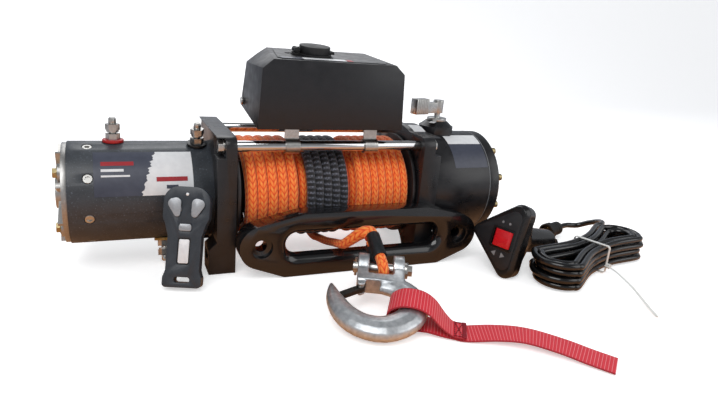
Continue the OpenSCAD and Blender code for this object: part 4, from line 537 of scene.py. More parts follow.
def rounded_outline(width, height, radius, at=(0, 0), steps=6):
    """A rectangle with round corners, about a middle point."""
    points = []
    for turn, sx, sy in ((0, 1, 1), (90, -1, 1), (180, -1, -1), (270, 1, -1)):
        for k in range(steps + 1):
            a = math.radians(turn + 90 * k / steps)
            points.append((at[0] + sx * (width / 2 - radius) + radius * math.cos(a),
                           at[1] + sy * (height / 2 - radius) + radius * math.sin(a)))
    return points


def hull_outline(circles, steps=10):
    """The outline round three circles, given anticlockwise as x, y and radius."""
    def outward(a, b):
        """The angle at which the outer tangent of two circles touches them."""
        gap = math.atan2(b[1] - a[1], b[0] - a[0])
        return gap - math.pi / 2 - math.asin((b[2] - a[2]) / math.dist(a[:2], b[:2]))

    points = []
    for k, (x, y, r) in enumerate(circles):
        start = outward(circles[k - 1], circles[k])
        end = outward(circles[k], circles[(k + 1) % len(circles)])
        while end < start:
            end += 2 * math.pi
        for s in range(steps + 1):
            a = start + (end - start) * s / steps
            points.append((x + r * math.cos(a), y + r * math.sin(a)))
    return points


def smooth(route, steps):
    """The curve through a route's points that the solids follow."""
    route = [np.array(p, float) for p in route]
    last, line = len(route) - 1, []
    for n in range(last):
        a, b, c, d = route[max(n - 1, 0)], route[n], route[n + 1], route[min(n + 2, last)]
        for s in range(steps):
            t = s / steps
            line.append(0.5 * (2 * b + (c - a) * t + (2 * a - 5 * b + 4 * c - d) * t * t
                               + (3 * b - a - 3 * c + d) * t ** 3))
    return np.array(line + [route[-1]])


def unit(vector):
    """The vector with a length of one."""
    return np.array(vector, float) / np.linalg.norm(vector)


def travelled(line):
    """How far each point of a line is along it."""
    return np.concatenate([[0], np.cumsum(np.linalg.norm(np.diff(line, axis=0), axis=1))])


def skinned(name, points, along, across, end_share=0.0):
    """A closed skin over rings of points in millimetres.

    Its UV map holds metres along it, and the shares given for each step round a ring. Its two end
    faces have one share.
    """
    sides, last = len(across) - 1, len(along) - 1
    faces, marks = [], []
    for n in range(last):
        for k in range(sides):
            m = (k + 1) % sides
            faces.append((n * sides + k, n * sides + m, (n + 1) * sides + m, (n + 1) * sides + k))
            marks += [(along[n] * MM, across[k]), (along[n] * MM, across[k + 1]),
                      (along[n + 1] * MM, across[k + 1]), (along[n + 1] * MM, across[k])]
    faces += [tuple(range(sides))[::-1], tuple(range(last * sides, (last + 1) * sides))]
    marks += [(0.0, end_share)] * (2 * sides)
    piece = built(name, points, faces)
    layer = piece.data.uv_layers.new(name="UVMap")
    layer.data.foreach_set("uv", np.array(marks, float).ravel())
    return piece


def tube(name, line, radii, sides, rise=0.0, columns=8, pitch=7.0):
    """A closed round tube along a line in millimetres, with its UV map and raised strands."""
    line = np.array(line, float)
    along = travelled(line)
    radii = np.broadcast_to(np.array(radii, float), len(line))
    ways = np.gradient(line, axis=0)
    side = unit(np.cross(ways[0], (0.1, 0.2, 1)))
    points = []
    for n, way in enumerate(ways):
        way = unit(way)
        side = unit(side - way * (side @ way))
        up = np.cross(way, side)
        for k in range(sides):
            share = k / sides
            column = share * columns
            lean = STRAND_LEAN * abs((column + 1) % 2 - 1)
            strand = abs(math.sin(math.pi * (along[n] / pitch + lean))) ** STRAND_BLUNT
            edge = abs(math.sin(math.pi * column)) ** COLUMN_BLUNT
            r = radii[n] + rise * (strand * edge - 1)
            a = 2 * math.pi * share
            points.append(line[n] + (side * math.cos(a) + up * math.sin(a)) * r)
    return skinned(name, points, along, [k / sides for k in range(sides + 1)])


def opened(piece, cutter):
    """Cuts an opening into a piece, and takes the cutter away."""
    cut = piece.modifiers.new("Opening", "BOOLEAN")
    cut.operation = "DIFFERENCE"
    cut.object = cutter
    applied(piece)
    bpy.data.objects.remove(cutter)


def inputs_of(tree, names):
    """Gives a Geometry Nodes tree its named inputs and its output, and returns the inputs."""
    for name, kind in names:
        tree.interface.new_socket(name, in_out="INPUT", socket_type="NodeSocket" + kind)
    tree.interface.new_socket("Geometry", in_out="OUTPUT", socket_type="NodeSocketGeometry")
    return add(tree, "NodeGroupInput").outputs


def closing(tree, shape, finish_input):
    """Ends a tree in plain faces with their finish."""
    shape = add(tree, "GeometryNodeRealizeInstances", {0: shape})
    shape = add(tree, "GeometryNodeSetMaterial", {"Geometry": shape, "Material": finish_input})
    add(tree, "NodeGroupOutput", {0: shape})


def wound_rope_tree():
    """One layer of plaited rope on the drum: a grid bent round into a screw line."""
    tree = bpy.data.node_groups.new("Wound rope", "GeometryNodeTree")
    given = inputs_of(tree, [
        ("Turns", "Float"), ("From", "Float"), ("Width", "Float"), ("Rope Length", "Float"),
        ("Winding Radius", "Float"), ("Half Width", "Float"), ("Half Height", "Float"),
        ("Start Angle", "Float"), ("Axis Height", "Float"), ("Strand Rise", "Float"),
        ("Strand Pitch", "Float"), ("Columns", "Float"), ("End Length", "Float"),
        ("Rings", "Int"), ("Sides", "Int"), ("Finish", "Material"),
    ])
    grid = add(tree, "GeometryNodeMeshGrid", {
        "Size X": 1.0, "Size Y": 1.0, "Vertices X": given["Rings"], "Vertices Y": given["Sides"]})
    scaled = add(tree, "ShaderNodeCombineXYZ", {0: given["Rope Length"], 1: 1.0, 2: 1.0})
    way = add(tree, "ShaderNodeVectorMath", {0: grid.outputs["UV Map"], 1: scaled}, operation="MULTIPLY")
    kept = add(tree, "GeometryNodeStoreNamedAttribute", data_type="FLOAT2", domain="CORNER")
    tree.links.new(grid.outputs["Mesh"], kept.inputs["Geometry"])
    kept.inputs["Name"].default_value = "UVMap"
    tree.links.new(way.outputs[0], kept.inputs["Value"])
    place = add(tree, "ShaderNodeSeparateXYZ", {0: add(tree, "GeometryNodeInputPosition")})
    share = add(tree, "ShaderNodeMath", {0: place.outputs["X"], 1: 0.5}, operation="ADD")
    around = add(tree, "ShaderNodeMath", {0: place.outputs["Y"], 1: 0.5}, operation="ADD")
    along = add(tree, "ShaderNodeMath", {0: share, 1: given["Rope Length"]}, operation="MULTIPLY")
    strand = add(tree, "ShaderNodeMath", {
        0: ("SUBTRACT", plait(along, around, given["Columns"], given["Strand Pitch"]), 1.0),
        1: given["Strand Rise"]}, operation="MULTIPLY")
    to_end = ("DIVIDE", ("MINIMUM", along, ("SUBTRACT", given["Rope Length"], along)), given["End Length"])
    blunt = ("SUBTRACT", 1.0, ("MINIMUM", to_end, 1.0))
    full = add(tree, "ShaderNodeMath", {0: ("SUBTRACT", 1.0, ("MULTIPLY", blunt, blunt))}, operation="SQRT")
    turn = ("MULTIPLY", around, 2 * math.pi)
    out = ("MULTIPLY", ("MULTIPLY", ("COSINE", turn), ("ADD", given["Half Height"], strand)), full)
    aside = ("MULTIPLY", ("MULTIPLY", ("SINE", turn), ("ADD", given["Half Width"], strand)), full)
    angle = add(tree, "ShaderNodeMath", {
        0: ("MULTIPLY", ("MULTIPLY", given["Turns"], share), 2 * math.pi), 1: given["Start Angle"]},
        operation="ADD")
    radius = add(tree, "ShaderNodeMath", {0: given["Winding Radius"], 1: out}, operation="ADD")
    bent = add(tree, "ShaderNodeCombineXYZ", {
        0: ("ADD", ("ADD", given["From"], ("MULTIPLY", given["Width"], share)), aside),
        1: ("MULTIPLY", ("COSINE", angle), radius),
        2: ("ADD", given["Axis Height"], ("MULTIPLY", ("SINE", angle), radius))})
    moved = add(tree, "GeometryNodeSetPosition", {"Geometry": kept, "Position": bent})
    joined = add(tree, "GeometryNodeMergeByDistance", {"Geometry": moved, "Distance": 0.005 * MM})
    closing(tree, joined, given["Finish"])
    return tree


def ring_tree():
    """Copies of one piece round a ring, upright on it or pointing away from its middle."""
    tree = bpy.data.node_groups.new("Ring of pieces", "GeometryNodeTree")
    given = inputs_of(tree, [("Piece", "Object"), ("Count", "Int"), ("Radius", "Float"),
                             ("Outward", "Bool"), ("Finish", "Material")])
    circle = add(tree, "GeometryNodeMeshCircle", {"Vertices": given["Count"], "Radius": given["Radius"]})
    piece = add(tree, "GeometryNodeObjectInfo", {"Object": given["Piece"]})
    outward = add(tree, "FunctionNodeAlignRotationToVector", {
        "Vector": add(tree, "GeometryNodeInputPosition")}, axis="Z")
    chosen = add(tree, "GeometryNodeSwitch", {"Switch": given["Outward"]}, input_type="ROTATION")
    tree.links.new(outward.outputs[0], chosen.inputs["True"])
    copies = add(tree, "GeometryNodeInstanceOnPoints", {
        "Points": circle, "Instance": piece.outputs["Geometry"], "Rotation": chosen.outputs[0]})
    closing(tree, copies, given["Finish"])
    return tree


def row_tree():
    """Copies of one piece in a row between two points, turned along it."""
    tree = bpy.data.node_groups.new("Row of pieces", "GeometryNodeTree")
    given = inputs_of(tree, [("Piece", "Object"), ("Count", "Int"), ("Start", "Vector"),
                             ("End", "Vector"), ("Finish", "Material")])
    line = add(tree, "GeometryNodeMeshLine", {"Count": given["Count"], "Start Location": given["Start"]},
               mode="END_POINTS", count_mode="TOTAL")
    tree.links.new(given["End"], line.inputs["Offset"])
    piece = add(tree, "GeometryNodeObjectInfo", {"Object": given["Piece"]})
    way = add(tree, "ShaderNodeVectorMath", {0: given["End"], 1: given["Start"]}, operation="SUBTRACT")
    along = add(tree, "FunctionNodeAlignRotationToVector", {"Vector": way}, axis="X")
    copies = add(tree, "GeometryNodeInstanceOnPoints", {
        "Points": line, "Instance": piece.outputs["Geometry"], "Rotation": along})
    closing(tree, copies, given["Finish"])
    return tree


TREES = {"Wound rope": wound_rope_tree, "Ring of pieces": ring_tree, "Row of pieces": row_tree}


def grown(name, tree_name, values):
    """Runs a Geometry Nodes tree and keeps its result as a plain mesh."""
    tree = bpy.data.node_groups.get(tree_name) or TREES[tree_name]()
    carrier = new_object(name, bpy.data.meshes.new(name))
    modifier = carrier.modifiers.new(tree_name, "NODES")
    modifier.node_group = tree
    for item in tree.interface.items_tree:
        if item.in_out == "INPUT" and item.name in values:
            modifier[item.identifier] = values[item.name]
    return applied(carrier)


def joined(name, pieces):
    """Several pieces as one mesh."""
    shape = bmesh.new()
    for piece in pieces:
        shape.from_mesh(piece.data)
        bpy.data.objects.remove(piece)
    mesh = bpy.data.meshes.new(name)
    shape.to_mesh(mesh)
    shape.free()
    return new_object(name, mesh)


def ring_of(name, piece, count, radius, turn, place, outward, finish_name, body, nodes):
    """A ring of like pieces about the drum's axis, standing for the nodes."""
    made = grown(name, "Ring of pieces", {
        "Piece": piece, "Count": count, "Radius": radius * MM, "Outward": outward,
        "Finish": finish(finish_name)})
    bpy.data.objects.remove(piece)
    put(made, place @ ACROSS @ Matrix.Rotation(math.radians(turn), 4, "Z"))
    return settle(made, finish_name, body, nodes)


def wrapped(name, x0, x1, a0, a1, radius, finish_name, slant=0.0, thick=0.25, torn=0.0):
    """A thin label round the drum's axis, between two places along it and two angles in degrees.

    slant moves its right edge on at the upper end and torn makes that edge ragged, in millimetres.
    """
    steps = max(2, int(abs(a1 - a0) / 2))
    points, faces = [], []
    for r in (radius + 0.03, radius + thick):
        for k in range(steps + 1):
            a = math.radians(a0 + (a1 - a0) * k / steps)
            for x in (x0, x1 + slant * (1 - k / steps) + torn * math.sin(2.4 * k) * math.cos(0.9 * k)):
                points.append((x, r * math.cos(a), AXIS_H + r * math.sin(a)))
    half = 2 * (steps + 1)
    for k in range(steps):
        a, b = 2 * k, half + 2 * k
        faces += [(a, a + 1, a + 3, a + 2), (b, b + 2, b + 3, b + 1),
                  (a, a + 2, b + 2, b), (a + 1, b + 1, b + 3, a + 3)]
    end = 2 * steps
    faces += [(0, half, half + 1, 1), (end, end + 1, half + end + 1, half + end)]
    return settle(built(name, points, faces), finish_name)


class WinchSizes(bpy.types.PropertyGroup):
    """Sizes that a user may change without touching the solids."""

    strand_rise: bpy.props.FloatProperty(
        name="Strand Rise", description="How far the rope's strands stand out",
        default=0.35 * MM, min=0.0, max=1.0 * MM, unit="LENGTH")
    strand_pitch: bpy.props.FloatProperty(
        name="Strand Pitch", description="Length of one strand along the rope",
        default=7 * MM, min=3 * MM, max=14 * MM, unit="LENGTH")
    columns: bpy.props.IntProperty(
        name="Strand Columns", description="Columns of strands round the rope", default=8, min=4, max=12)
    casting_edge: bpy.props.FloatProperty(
        name="Casting Edge", description="Radius on the edges of the cast pieces",
        default=1.2 * MM, min=0.2 * MM, max=3 * MM, unit="LENGTH")
    box_edge: bpy.props.FloatProperty(
        name="Box Edge", description="Radius on the edges of the control box",
        default=2.4 * MM, min=0.2 * MM, max=2.6 * MM, unit="LENGTH")
    stitches: bpy.props.IntProperty(
        name="Stitches", description="Stitches in each row of the strap's seam", default=8, min=3, max=20)


class WinchColours(bpy.types.PropertyGroup):
    """Colours that a user may change."""

    rope: bpy.props.FloatVectorProperty(
        name="Rope", description="Colour on the backs of the rope's strands", subtype="COLOR", size=4,
        default=linear("#ff5a10"), min=0.0, max=1.0)
    rocker: bpy.props.FloatVectorProperty(
        name="Rocker", description="Colour of the wired remote's rocker", subtype="COLOR", size=4,
        default=linear("#d81a26"), min=0.0, max=1.0)


class WINCH_OT_stage(bpy.types.Operator):
    """Sets the camera, the lamps and the seamless paper"""

    bl_idname = "winch.stage"
    bl_label = "Stage"

    def execute(self, context):
        # The camera's place in metres, its turn, tilt and roll in degrees, and its lens
        camera_at = (-0.240, -0.6695, 0.2816)
        yaw, pitch, roll = (math.radians(v) for v in (24.5, 17.2, 5.0))
        lens_length, sensor = 28.6, 36.0
        ahead = Vector((math.sin(yaw) * math.cos(pitch), math.cos(yaw) * math.cos(pitch), -math.sin(pitch)))
        level = Vector((math.cos(yaw), -math.sin(yaw), 0))
        above = level.cross(ahead)
        right = level * math.cos(roll) + above * math.sin(roll)
        up = above * math.cos(roll) - level * math.sin(roll)
        lens = bpy.data.cameras.new("camera")
        lens.lens = lens_length
        lens.sensor_width = sensor
        camera = new_object("camera", lens)
        turn = Matrix((right, up, -ahead)).transposed().to_4x4()
        camera.matrix_world = Matrix.Translation(camera_at) @ turn
        context.scene.camera = camera

        aim = Vector((0.03, -0.05, 0.1))
        for name, at, size, power in (
            ("key", (-0.9, -1.1, 1.7), 1.4, 22.0),
            ("fill", (1.5, -1.3, 1.1), 1.6, 12.0),
            ("rim", (0.2, 1.5, 1.5), 1.6, 14.0),
        ):
            lamp = bpy.data.lights.new(name, "AREA")
            lamp.size = size
            lamp.energy = power
            light = new_object(name, lamp)
            light.location = at
            light.rotation_euler = (aim - Vector(at)).to_track_quat("-Z", "Y").to_euler()

        # Paper that lies under the object and curves up behind it, in metres
        radius, front, bend_from, top, half_width, under = 1.0, -2.4, 1.4, 3.2, 4.0, 0.0005
        profile = [(front, 0.0), (bend_from, 0.0)]
        for degrees in range(5, 91, 5):
            a = math.radians(degrees)
            profile.append((bend_from + radius * math.sin(a), radius - radius * math.cos(a)))
        profile.append((bend_from + radius, top))
        points = [(x, y, z - under) for y, z in profile for x in (-half_width, half_width)]
        faces = [(2 * k, 2 * k + 1, 2 * k + 3, 2 * k + 2) for k in range(len(profile) - 1)]
        mesh = bpy.data.meshes.new("paper")
        mesh.from_pydata(points, [], faces)
        mesh.polygons.foreach_set("use_smooth", [True] * len(faces))
        mesh.materials.append(finish("studio_paper"))
        new_object("paper", mesh)

        world = bpy.data.worlds.new("studio")
        context.scene.world = world
        world.use_nodes = True
        tree = world.node_tree
        # Soft light from all round, white behind the object, and walls that darken upwards in the metal
        path = add(tree, "ShaderNodeLightPath")
        way = add(tree, "ShaderNodeSeparateXYZ", {0: add(tree, "ShaderNodeTexCoord").outputs["Generated"]})
        dimmed = add(tree, "ShaderNodeMapRange", {
            "Value": way.outputs["Z"], "From Min": -0.1, "From Max": 0.5, "To Min": 0.7, "To Max": 0.25})
        soft = add(tree, "ShaderNodeBackground", {"Color": linear("#e8ebf0"), "Strength": 0.5})
        walls = add(tree, "ShaderNodeBackground", {"Color": linear("#eceff4"), "Strength": dimmed})
        plain = add(tree, "ShaderNodeBackground", {"Color": linear("#ffffff"), "Strength": 1.0})
        mirrored = add(tree, "ShaderNodeMixShader", {0: path.outputs["Is Glossy Ray"], 1: soft, 2: walls})
        mixed = add(tree, "ShaderNodeMixShader", {0: path.outputs["Is Camera Ray"], 1: mirrored, 2: plain})
        tree.links.new(mixed.outputs[0], tree.nodes["World Output"].inputs["Surface"])
        context.scene.view_settings.view_transform = "Standard"
        return {"FINISHED"}


class WINCH_OT_cable(bpy.types.Operator):
    """Lays the wired remote's cable from its grip into the hank, with its plug and tie"""

    bl_idname = "winch.cable"
    bl_label = "Cable"

    def execute(self, context):
        # The hank's half length, its innermost turn at lobes and waist, the step to the next turn and
        # layer, the places where its waist begins and its height over the ground
        half, lobe_r, waist_r, step, waist_share, lift = 82.0, 15.0, 2.2, 8.8, 0.34, 1.8
        rings, caps, layers = 24, 9, 4
        run, turn = rings // 2, 180 / caps
        hank = []
        for n in range(2 * layers * rings + 1):
            t, k = n / rings, n % rings
            out = abs(2 - t % 4)
            lobe, waist = lobe_r + out * step, waist_r + out * step
            up = sum(min(1.0, max(0.0, (t - 2 * c + 0.25) / 0.5)) for c in range(1, layers))
            if k <= caps:
                a = math.radians(90 - turn * k)
                x, y = half + lobe * math.cos(a), lobe * math.sin(a)
            elif k < run:
                x, y = half * (waist_share if k == caps + 1 else -waist_share), -waist
            elif k <= run + caps:
                a = math.radians(-90 - turn * (k - run))
                x, y = -half + lobe * math.cos(a), lobe * math.sin(a)
            else:
                x, y = half * (-waist_share if k == run + caps + 1 else waist_share), waist
            hank.append((x, y, lift + CABLE_R + step * up))
        first, last = np.array(hank[0]), np.array(hank[-1])
        to_hank = AT_HANK.inverted() @ AT_HANDSET
        grip = [np.array(to_hank @ (Vector((-6, y, 47)) * MM)) / MM for y in (134, 146)]
        route = [*grip, (14, 52, 7), (35, 46, 5.8), (54, 38, 5.8), first - (16, 0, 0), first - (8, 0, 0)]
        lead = smooth(route, 6)
        tail = smooth([last + (8, 0, 0), (98, 32.6, 32), (112, 37, 31), (124, 48, 27), (128, 63, 20),
                       (122, 78, 12), (108, 87, 12), (94, 89, 12), (80, 89, 12)], 6)
        turns = smooth([first - (8, 0, 0), *hank, last + (8, 0, 0)], 4)
        line = np.concatenate([lead[:-1], turns[:-1], tail])
        cable = put(tube("cable_jacket", line, CABLE_R, 14), AT_HANK)
        settle(cable, "cable_pvc_black", "root",
               ["cable_lead", "cable_hank", "cable_tail"], angle=60)

        # Ribbed strain relief that narrows along the first part of the cable
        start = lead[:9]
        wide = [7.0 - 2.4 * k / 8 - (0.5 if k % 2 else 0.0) for k in range(9)]
        relief = put(tube("strain_relief", start, wide, 20), AT_HANK)
        settle(relief, "rubber_matt_black")

        # The plug from its cable end to its open end, with two grip grooves and a collar
        profile = [(4.6, -6), (6.5, -5), (9.4, 0), (10, 1), (10, 5), (9.3, 5.6), (9.3, 7), (10, 7.6),
                   (10, 10), (9.3, 10.6), (9.3, 12), (10, 12.6), (10, 20.6), (11.5, 21), (12, 21.6),
                   (12, 32.4), (11.4, 33), (10, 33), (10, 24), (9.6, 23.8)]
        shell = turned("plug_shell", profile, 48)
        pin_count, pin_circle = 5, 6
        pins = []
        for k in range(pin_count):
            pin = turned("plug_pin", [(1.3, 23), (1.3, 30), (0.7, 30.8)], 12)
            about = Matrix.Rotation(2 * math.pi * k / pin_count, 4, "Z")
            pins.append(put(pin, about @ placed((pin_circle, 0, 0))))
        at_end = AT_HANK @ placed((80, 89, 12)) @ Matrix.Rotation(math.radians(-90), 4, "Y")
        shell = settle(put(shell, at_end), "rubber_matt_black", "root", ["remote_plug"])
        pins = settle(put(joined("plug_pins", pins), at_end), "steel_zinc_yellow")
        dress([("cable_tie", "tie_nylon_white", "tie_white", 0.0)])

        return {"FINISHED"}


class WINCH_OT_rope_end(bpy.types.Operator):
    """Lays the rope from the drum through the fairlead to its eye in the hook"""

    bl_idname = "winch.rope_end"
    bl_label = "Rope End"

    def execute(self, context):
        sizes = context.scene.winch_sizes

        def plaited_rope(name, line, radii, nodes=()):
            """A length of the plaited rope, with its finish."""
            piece = tube(name, line, radii, 32, sizes.strand_rise / MM, sizes.columns,
                         sizes.strand_pitch / MM)
            return settle(piece, "rope_plaited_orange", "root", nodes, angle=80)

        hook_turn = math.radians(HOOK_TURN)
        pin_dir = np.array([math.cos(hook_turn), math.sin(hook_turn), 0])
        eye_dir = unit((5, 46, 25))
        eye_out = unit(np.cross(pin_dir, eye_dir))
        eye_r, eye_rope_r, leg, close, splice_r = 13.2, 6.0, 44.0, 8.0, 8.0
        # The rope leaves the drum on top of its outer layer
        leaving_r, steps = 63.3 + ROPE_R, 16
        route = []
        for degrees in (290, 276.5, 263, 249.5):
            a = math.radians(degrees)
            route.append((0, leaving_r * math.cos(a), AXIS_H + leaving_r * math.sin(a)))
        route += [LIP_AT + s for s in ((-4, 34.3, -2.5), (-1.5, 12.3, 3.5), (0, 0, 6.6), (2, -9.7, 10.5),
                                       (7, -19.2, 19.5), (15, -26.7, 29))]
        route += [PIN_AT + eye_dir * (leg + splice_r), PIN_AT + eye_dir * leg]
        line = smooth(route, steps)
        rope = plaited_rope("rope_free_end", line, ROPE_R, ["rope_tail"])
        # The splice swells from where the rope's end is tucked in to the throat of the eye
        start, tucked_r = 5 * steps, ROPE_R + 0.15
        share = np.linspace(0, 1, len(line) - start)
        swell = tucked_r + (splice_r - tucked_r) * share * share * (3 - 2 * share)
        splice = plaited_rope("rope_splice", line[start:], swell)
        loop = [PIN_AT + eye_dir * leg + eye_out * close]
        for k in range(13):
            a = math.radians(90 - 15 * k)
            loop.append(PIN_AT - eye_dir * (eye_r * math.cos(a)) + eye_out * (eye_r * math.sin(a)))
        loop.append(PIN_AT + eye_dir * leg - eye_out * close)
        eye = plaited_rope("rope_eye", smooth(loop, steps // 2), eye_rope_r)
        dress([("thimble", "thimble_dark_plated", "thimble_grey", 0.4)])
        return {"FINISHED"}


class WINCH_OT_winding(bpy.types.Operator):
    """Winds the rope on the drum: its outer layer in three parts and the layer under it"""

    bl_idname = "winch.winding"
    bl_label = "Winding"

    def execute(self, context):
        sizes = context.scene.winch_sizes
        sleeve_rise, sleeve_pitch, turn_gap, blunt_end = 0.12 * MM, 4 * MM, 0.15, 3 * MM
        # Each part's name, start and share of the drum, turns, radius, finish, slot and node
        parts = (
            ("rope_wound_motor_side", 0.0, 0.335, 5, LAYER_R, "rope_plaited_orange", "rope_orange",
             "rope_turns_motor_side"),
            ("rope_wound_sleeve", 0.335, 0.290, 5, LAYER_R, "sleeve_woven_black", "sleeve_black",
             "rope_sleeve_turns"),
            ("rope_wound_gear_side", 0.625, 0.375, 7, LAYER_R, "rope_plaited_orange", "rope_orange",
             "rope_turns_gear_side"),
            ("rope_wound_inside", 0.0, 1.0, 19, LAYER_R - LAYER_STEP, "rope_plaited_orange", "rope_orange",
             "rope_core"),
        )
        for name, start, share, turns, radius, finish_name, slot, node in parts:
            woven = node == "rope_sleeve_turns"
            # The layer inside is hardly seen, so it has fewer faces
            ring_step, sides = (8, 13) if node == "rope_core" else (1.4, 33)
            pitch = LAYER_L * share / (turns + 1)
            width = pitch * turns
            long = math.hypot(2 * math.pi * radius * turns, width)
            made = grown(name, "Wound rope", {
                "Turns": float(turns), "From": (LAYER_FROM + LAYER_L * start + pitch / 2) * MM,
                "Width": width * MM, "Rope Length": long * MM, "Winding Radius": radius * MM,
                "Half Width": (pitch / 2 - turn_gap) * MM, "Half Height": ROPE_R * MM,
                "Start Angle": WINDING_START, "Axis Height": AXIS_H * MM,
                "Strand Rise": sleeve_rise if woven else sizes.strand_rise,
                "Strand Pitch": sleeve_pitch if woven else sizes.strand_pitch,
                "Columns": float(sizes.columns * 2 if woven else sizes.columns), "End Length": blunt_end,
                "Rings": int(long / ring_step), "Sides": sides, "Finish": finish(finish_name)})
            settle(made, finish_name, "drum", [node], angle=80)
        strands = finish("rope_plaited_orange").node_tree.nodes["Shades"]
        strands.inputs[7].default_value = list(context.scene.winch_colours.rope)
        return {"FINISHED"}


class WINCH_OT_frame(bpy.types.Operator):
    """Finishes the brackets, tie rods, bolts, bushes, the drum and what is inside it"""

    bl_idname = "winch.frame"
    bl_label = "Frame and Drum"

    def execute(self, context):
        edge = context.scene.winch_sizes.casting_edge / MM
        dress([
            ("motor_bracket", "casting_powder_coated_black", "bracket_black", edge),
            ("gear_bracket", "casting_powder_coated_black", "bracket_black", edge),
            ("tie_rods", "rod_hard_chrome", "rod_chrome", 0.4),
            ("tie_rod_bolts", "steel_zinc_plated", "zinc", 0.3),
            ("drum", "drum_steel_phosphated", "steel", 0.4),
            ("drum_bushes", "bush_nylon", "bush_nylon", 0.0),
            ("brake_core", "brake_lining_sintered", "brake_lining", 0.0),
            ("drive_shaft", "steel_ground", "steel", 0.3),
        ])
        # A small bare label on the domed top of the gear bracket
        dome_r = 80
        wrapped("bracket_label", 122, 138.5, 95, 111, dome_r, "label_vinyl_white")
        return {"FINISHED"}


class WINCH_OT_motor(bpy.types.Operator):
    """Finishes the motor, its end cap, screws, terminals and label, and what is inside it"""

    bl_idname = "winch.motor"
    bl_label = "Motor"

    def execute(self, context):
        dress([
            ("motor_can", "can_powder_coated_grey", "can_grey", 0.7),
            ("motor_end_cap", "end_cap_die_cast", "zinc", 0.8),
            ("field_poles", "magnet_ferrite", "magnet", 0.0),
            ("armature", "winding_enamelled_copper", "copper", 0.0),
            ("brush_ring", "board_pressed_paper", "brush_board", 0.0),
            ("terminal_insulators", "insulator_moulded", "insulator", 0.4),
            ("terminal_studs", "steel_zinc_plated", "zinc", 0.25),
            ("terminal_nuts", "steel_zinc_plated", "zinc", 0.3),
        ])
        cap_screw = turned("cap_screw", [
            (2.5, -8), (2.5, -2.6), (4.4, -2.6), (5, -2.2), (5, -0.9), (4.5, -0.5),
            (("hex", 5.2), -0.5), (("hex", 5.0), -2.1)], 24)
        screws_at = placed((CAN_SCREWS_X, 0, AXIS_H))
        ring_of("can_cap_screws", cap_screw, 8, MOTOR_R, 105, screws_at, True,
                "steel_zinc_plated", "root", ["can_screws"])
        cap_bolt = turned("cap_bolt", [
            (3, -16), (3, 0), (6.6, 0), (7, 0.5), (7, 1.2), (("hex", 10), 1.2), (("hex", 10), 4.6),
            (("hex", 8.8), 5)], 24)
        bolts_at = placed((END_CAP_REAR, 0, AXIS_H)) @ Matrix.Scale(-1, 4, (1, 0, 0))
        ring_of("end_cap_hex_bolts", cap_bolt, 4, 42, 45, bolts_at, False,
                "steel_zinc_yellow", "root", ["end_cap_bolts"])
        # One label in two halves with a torn edge between them, and plain bars on them
        wrapped("motor_label_dark", -257, -211, 117, 170, MOTOR_R, "label_vinyl_slate",
                slant=15, thick=0.3, torn=2.2)
        wrapped("motor_label_white", -216, -158, 117, 170, MOTOR_R, "label_vinyl_white",
                thick=0.2)
        for name, x0, x1, a0, a1, finish_name, slot in (
            ("motor_bar_red", -250, -218, 131, 136, "label_vinyl_red", "rocker_red"),
            ("motor_bar_pale", -250, -228, 140, 143, "label_vinyl_white", "tie_white"),
            ("motor_bar_thin", -250, -222, 147, 149, "label_vinyl_white", "tie_white"),
            ("motor_bar_wide", -196, -164, 150, 155, "label_vinyl_red", "rocker_red"),
            ("motor_bar_dark", -186, -174, 159, 163, "label_vinyl_slate", "can_grey"),
        ):
            wrapped(name, x0, x1, a0, a1, MOTOR_R + 0.3, finish_name, thick=0.15)
        return {"FINISHED"}


class WINCH_OT_gearbox(bpy.types.Operator):
    """Finishes the gearbox, its wheels, its cover screws, the clutch and the plain labels"""

    bl_idname = "winch.gearbox"
    bl_label = "Gearbox"

    def execute(self, context):
        dress([
            ("gearbox_housing", "casting_powder_coated_black", "bracket_black", 0.8),
            ("gearbox_cover", "casting_powder_coated_black", "bracket_black", 1.0),
            ("clutch_housing", "casting_powder_coated_black", "bracket_black", 1.0),
            ("clutch_lever", "steel_zinc_plated", "hook_zinc", 0.5),
            *((node, "steel_ground", "steel", 0.0) for node in (
                "clutch_pin", "ring_gear", "planet_gear_a", "planet_gear_b", "planet_gear_c",
                "planet_carrier", "reduction_unit")),
        ])
        screw = turned("cover_screw", [
            (3, -17), (3, 0), (4.3, 0), (4.6, 0.3), (4.6, 4.6), (4.2, 5), (("hex", 4.6), 5),
            (("hex", 4.4), 2.6)], 24)
        ring_of("cover_cap_screws", screw, 10, 62, 126, placed((COVER_END, 0, AXIS_H)), False,
                "steel_zinc_yellow", "root", ["cover_screws"])
        # A bead of sealant that stands a little out of the seam
        inner, outer, half = GEARBOX_R - 0.6, GEARBOX_R + 0.12, 0.35
        bead = turned("gearbox_gasket", [(inner, -half), (outer, -half), (outer, half), (inner, half)],
                      96, ring=True)
        put(bead, placed((HOUSING_SEAM, 0, AXIS_H)) @ ACROSS)
        settle(bead, "mark_grey_print")
        wrapped("gearbox_label_top", 170.5, 221, 104, 121, GEARBOX_R, "label_vinyl_white")
        wrapped("gearbox_label_low", 170.5, 221, 121, 151, GEARBOX_R, "label_vinyl_slate")
        boss_label = plate("clutch_label", rounded_outline(13, 7, 1), 0.25, placed((156, -14, 166.02), 45))
        settle(boss_label, "label_vinyl_white")
        return {"FINISHED"}


